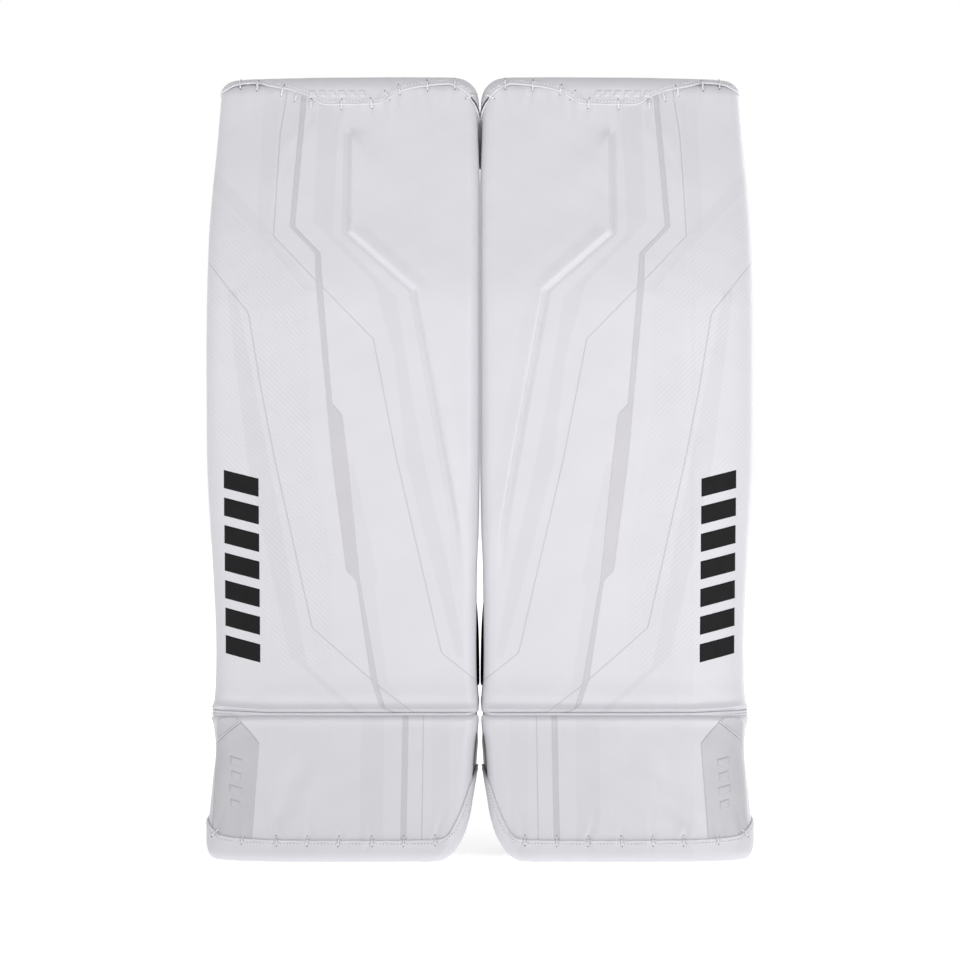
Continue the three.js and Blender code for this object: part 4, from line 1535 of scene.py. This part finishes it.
def slab(low, high, cells, round_by):
    """A thin flat piece in a box, with thinned edges. Its faces look forwards and backwards."""
    s = np.linspace(0, 1, cells[0] + 1)[None, :]
    t = np.linspace(0, 1, cells[1] + 1)[:, None]
    u = low[0] + (high[0] - low[0]) * s + 0 * t
    z = low[2] + (high[2] - low[2]) * t + 0 * s
    edge = np.minimum(np.minimum(u - low[0], high[0] - u), np.minimum(z - low[2], high[2] - z))
    half = (high[1] - low[1]) / 2
    thin = round_by * half * (1 - quarter_round(edge / SLAB_EDGE))
    front = np.stack([u, low[1] + thin, z], -1)
    rear = np.stack([u, high[1] - thin, z], -1)
    return closed_form(front, rear)


def stitched_box(low, high, y, parts, cross=True):
    """Stitches in a rectangle, with a cross inside, on a face that looks backwards."""
    (u0, z0), (u1, z1) = low, high
    loop = [(u0, y, z0), (u1, y, z0), (u1, y, z1), (u0, y, z1), (u0, y, z0)]
    paths = [loop, [(u0, y, z0), (u1, y, z1)], [(u0, y, z1), (u1, y, z0)]] if cross else [loop]
    for path in paths:
        for a, b in zip(path, path[1:]):
            back_stitch([a, b], parts, radius=0.35, length=2.0, spacing=3.0)


STITCH_SINK = 0.05
EDGE_SEAM = 2.2
# An anchor patch's two corners, counted from the strap's end: (beyond its end, behind its back,
# beyond its lower or upper edge). On a wing the patch faces backwards, on the boot outwards.
WING_ANCHOR = (0.8, -2.4, -2), (15.5, 0.2, 2)
BOOT_ANCHOR = (3.2, -31, -3), (5.4, -4, 3)


def strap_anchor(name, body, low, high):
    """The patch that holds a strap's end."""
    near, far = BOOT_ANCHOR if body == "boot" else WING_ANCHOR
    near = np.array([high[0] + near[0], high[1] + near[1], low[2] + near[2]])
    far = np.array([high[0] + far[0], high[1] + far[1], high[2] + far[2]])
    anchor, stitches = Parts(), Parts()
    if body == "boot":
        turned = [1, 0, 2]
        points, faces = slab(near[turned], far[turned], (18, 18), 0.8)
        anchor.add(points[:, turned], faces)
    else:
        anchor.add(*slab(near, far, (14, 14), 0.8))
        stitched_box(near[[0, 2]] + EDGE_SEAM, far[[0, 2]] - EDGE_SEAM, far[1], stitches, False)
        stitches.on_both(f"{name}_anchor_stitching", body, "black_thread")
    anchor.on_both(f"{name}_anchor", body, "black")


def strap(name, anchor_body, tab=None):
    """A webbing strap on the body of its name, with its anchor patch and its pull tab."""
    low, high = box_of(f"left_{name}")
    points, faces = slab(low, high, (90, 14), 0.7)
    stitches = Parts()
    y = high[1] - STITCH_SINK
    for z in (low[2] + EDGE_SEAM, high[2] - EDGE_SEAM):
        back_stitch([(low[0] + 3, y, z), (high[0] - 3, y, z)], stitches, radius=0.3, spacing=3.4)
    stitched_box((high[0] - 24, low[2] + 5), (high[0] - 5, high[2] - 5), y, stitches)
    on_both(name, name, "webbing", points, faces, name, sharp=50)
    stitches.on_both(f"{name}_stitching", name, "black_thread")
    strap_anchor(name, anchor_body, low, high)
    if tab:
        pull_tab(tab, name)


TAB_RIBS = 5
TAB_RIB_START, TAB_RIB_PITCH = 6, 3.2
TAB_SEAM = 2.6


def pull_tab(name, body):
    """A strap's stiffened end, with ribs to grip."""
    low, high = box_of(f"left_{name}")
    parts, ribs, stitches = Parts(), Parts(), Parts()
    parts.add(*slab(low, high, (30, 30), 0.9))
    for i in range(TAB_RIBS):
        u = low[0] + TAB_RIB_START + i * TAB_RIB_PITCH
        z = np.linspace(low[2] + 9, high[2] - 9, 12)
        ribs.tube(np.stack([np.full(12, u), np.full(12, high[1] - 0.3), z], -1), 0.9, sides=8)
    corners = low[[0, 2]] + TAB_SEAM, high[[0, 2]] - TAB_SEAM
    stitched_box(*corners, high[1] - STITCH_SINK, stitches, False)
    parts.on_both(name, body, "black", name)
    ribs.on_both(f"{name}_grip", body, "black")
    stitches.on_both(f"{name}_stitching", body, "lace")


# ---- toe bridge and stiffening board ----------------------------------------------------------

def softened(node, key, body, width):
    """A CAD piece with its edges rounded."""
    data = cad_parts[node].data.copy()
    form = bmesh.new()
    form.from_mesh(data)
    bmesh.ops.remove_doubles(form, verts=form.verts, dist=1e-6)
    bmesh.ops.dissolve_limit(form, angle_limit=0.02, verts=form.verts, edges=form.edges)
    form.to_mesh(data)
    form.free()
    obj = linked(f"{node}_form", data)
    data.materials.clear()
    data.materials.append(finish_of(key))
    data.polygons.foreach_set("use_smooth", [True] * len(data.polygons))
    bevel = obj.modifiers.new("edges", "BEVEL")
    bevel.width = width * MM
    bevel.segments = 4
    bevel.harden_normals = True
    return settle(obj, body, key, node)


BRIDGE_DEPTH = 72.5
RIVET_SIDES = 16
RIVET_PROFILE = ((4.0, -0.6), (4.0, 0.4), (3.2, 1.0), (1.4, 1.3))


def rivet(u, y, z, rivets):
    """A domed rivet head from rings of RIVET_PROFILE, (radius, height)."""
    turn = np.arange(RIVET_SIDES) / RIVET_SIDES * 2 * math.pi
    rings = [np.stack([u + r * np.cos(turn), np.full(RIVET_SIDES, y + h), z + r * np.sin(turn)], -1)
             for r, h in RIVET_PROFILE]
    rivets.add(*stacked(rings))


def toe_bridge():
    """The bridge across the toe, with its tunnels for the toe tie, two seams and three rivets."""
    for side in SIGN:
        softened(f"{side}_toe_bridge", "black", f"{side}_boot", 2.2)
    low, high = box_of("left_toe_bridge")
    stitches, rivets = Parts(), Parts()
    for z in (low[2] + 3.5, high[2] - 3.5):
        y = face_y(z) + BRIDGE_DEPTH + 0.1
        back_stitch([(low[0] + 5, y, z), (high[0] - 5, y, z)], stitches)
    for u in (low[0] + 6, (low[0] + high[0]) / 2, high[0] - 6):
        z = (low[2] + high[2]) / 2
        rivet(u, face_y(z) + BRIDGE_DEPTH, z, rivets)
    stitches.on_both("toe_bridge_stitching", "boot", "black_thread")
    rivets.on_both("toe_bridge_rivets", "boot", "badge")


# ---- back of the pads -------------------------------------------------------------------------

block("knee_block_base", "nylon")
block("knee_block_middle", "nylon")
block("knee_block_landing", "black", (470, 514))
block("calf_landing", "black", (232, 292, 352), proud=1.6)

for wing_name, (middle_line, face_line) in WINGS.items():
    wing(wing_name, middle_line, face_line)
boot_wing("inner_boot_wing")
boot_wing("outer_boot_wing")

back_panel("back_panel", BREAK_Z + 0.7 + SHIN_RISE * PANEL_BACK, PAD_TOP - 6, 318, "shin")
back_panel("boot_back_panel", 5.0, BREAK_Z - 0.7 - BOOT_FALL * PANEL_BACK, 66, "boot")
bellows()
toe_bridge()
for side in SIGN:
    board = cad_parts[f"{side}_stiffener_board"].data
    board.materials.clear()
    board.materials.append(finish_of("board"))

strap("knee_strap", "knee_wing", "knee_strap_tab")
strap("upper_calf_strap", "outer_calf_wing", "upper_calf_strap_tab")
strap("lower_calf_strap", "outer_calf_wing", "lower_calf_strap_tab")
strap("boot_strap", "boot")


# ---- floor, light and camera ------------------------------------------------------------------

FLOOR_RINGS = (0.6, 1.2, 2.4, 5.0, 14.0)
FLOOR_WHITE = (0.84, 0.84, 0.845)


def floor():
    """A pale studio floor that glows, more dimly near the pads: painted light, with painted shade round the
    pads.
    """
    finish = Finish("studio_floor", roughness=0.9, Emission_Color=(1, 1, 1, 1))
    away = ((finish.x * finish.x + finish.y * finish.y).math("SQRT") * (1 / 1000)).above(0.85, 0.9)
    # The floor's glow is painted light; it is weaker near the pads, which leaves painted shade round them.
    finish.set(Base_Color=finish.shade(FLOOR_WHITE, 0.004, 400), Emission_Strength=away * 0.35 + 0.65)
    turn = np.arange(48) / 48 * 2 * math.pi
    rings = [(0.1, 0.1), *((r, r) for r in FLOOR_RINGS)]
    points = [(a * math.cos(t), b * math.sin(t), 0.0) for a, b in rings for t in turn]
    faces = [list(reversed(f)) for f in grid_faces(len(rings), len(turn), closed=True)]
    data = bpy.data.meshes.new("studio_floor")
    data.from_pydata(points, [], [*faces, list(range(len(turn)))])
    data.materials.append(finish.material)
    linked("studio_floor", data)


SURROUNDINGS = 0.3


def surroundings():
    """White surroundings, seen and reflected at full brightness, that light the pads more softly."""
    world = bpy.data.worlds.new("surroundings")
    world.use_nodes = True
    tree = world.node_tree
    path = tree.nodes.new("ShaderNodeLightPath")
    diffuse = Field(tree, path.outputs["Is Diffuse Ray"])
    tree.links.new((1 - diffuse * (1 - SURROUNDINGS)).socket, tree.nodes["Background"].inputs["Strength"])
    tree.nodes["Background"].inputs["Color"].default_value = (1.0, 1.0, 1.0, 1.0)
    bpy.context.scene.world = world


# Each light's place, the point it faces, its width and height, all in metres, and its power in watts.
LIGHTS = {
    "key": ((-2.3, -2.0, 0.5), (0, 0, 0.4), (1.5, 2.2), 18),
    "front": ((1.7, -2.9, 0.6), (0, 0, 0.3), (1.8, 1.1), 21),
    "low": ((0.5, -1.0, 0.18), (0, 0, 0.05), (0.9, 0.3), 1.1),
    "over": ((0.0, 0.1, 3.0), (0, 0, 0), (2.6, 2.6), 12),
    "behind": ((2.0, 1.3, 0.9), (0.1, 0, 0.4), (1.4, 1.8), 14),
}


def softbox(name, place_at, target, size, power):
    data = bpy.data.lights.new(name, "AREA")
    data.shape = "RECTANGLE"
    data.size, data.size_y = size
    data.energy = power
    obj = linked(name, data)
    obj.location = place_at
    obj.rotation_euler = (Vector(target) - Vector(place_at)).to_track_quat("-Z", "Y").to_euler()
    obj.visible_camera = False


CAMERA_PLACE = (0.0, -2.78, 0.387)
CAMERA_LENS = 100
CAMERA_SENSOR = 36

floor()
surroundings()
bpy.context.scene.view_settings.view_transform = "Standard"
for light, settings in LIGHTS.items():
    softbox(light, *settings)

camera = linked("camera", bpy.data.cameras.new("camera"))
camera.data.lens = CAMERA_LENS
camera.data.sensor_width = CAMERA_SENSOR
camera.location = CAMERA_PLACE
camera.rotation_euler = (math.radians(90), 0, 0)
bpy.context.scene.camera = camera

bpy.context.view_layer.update()
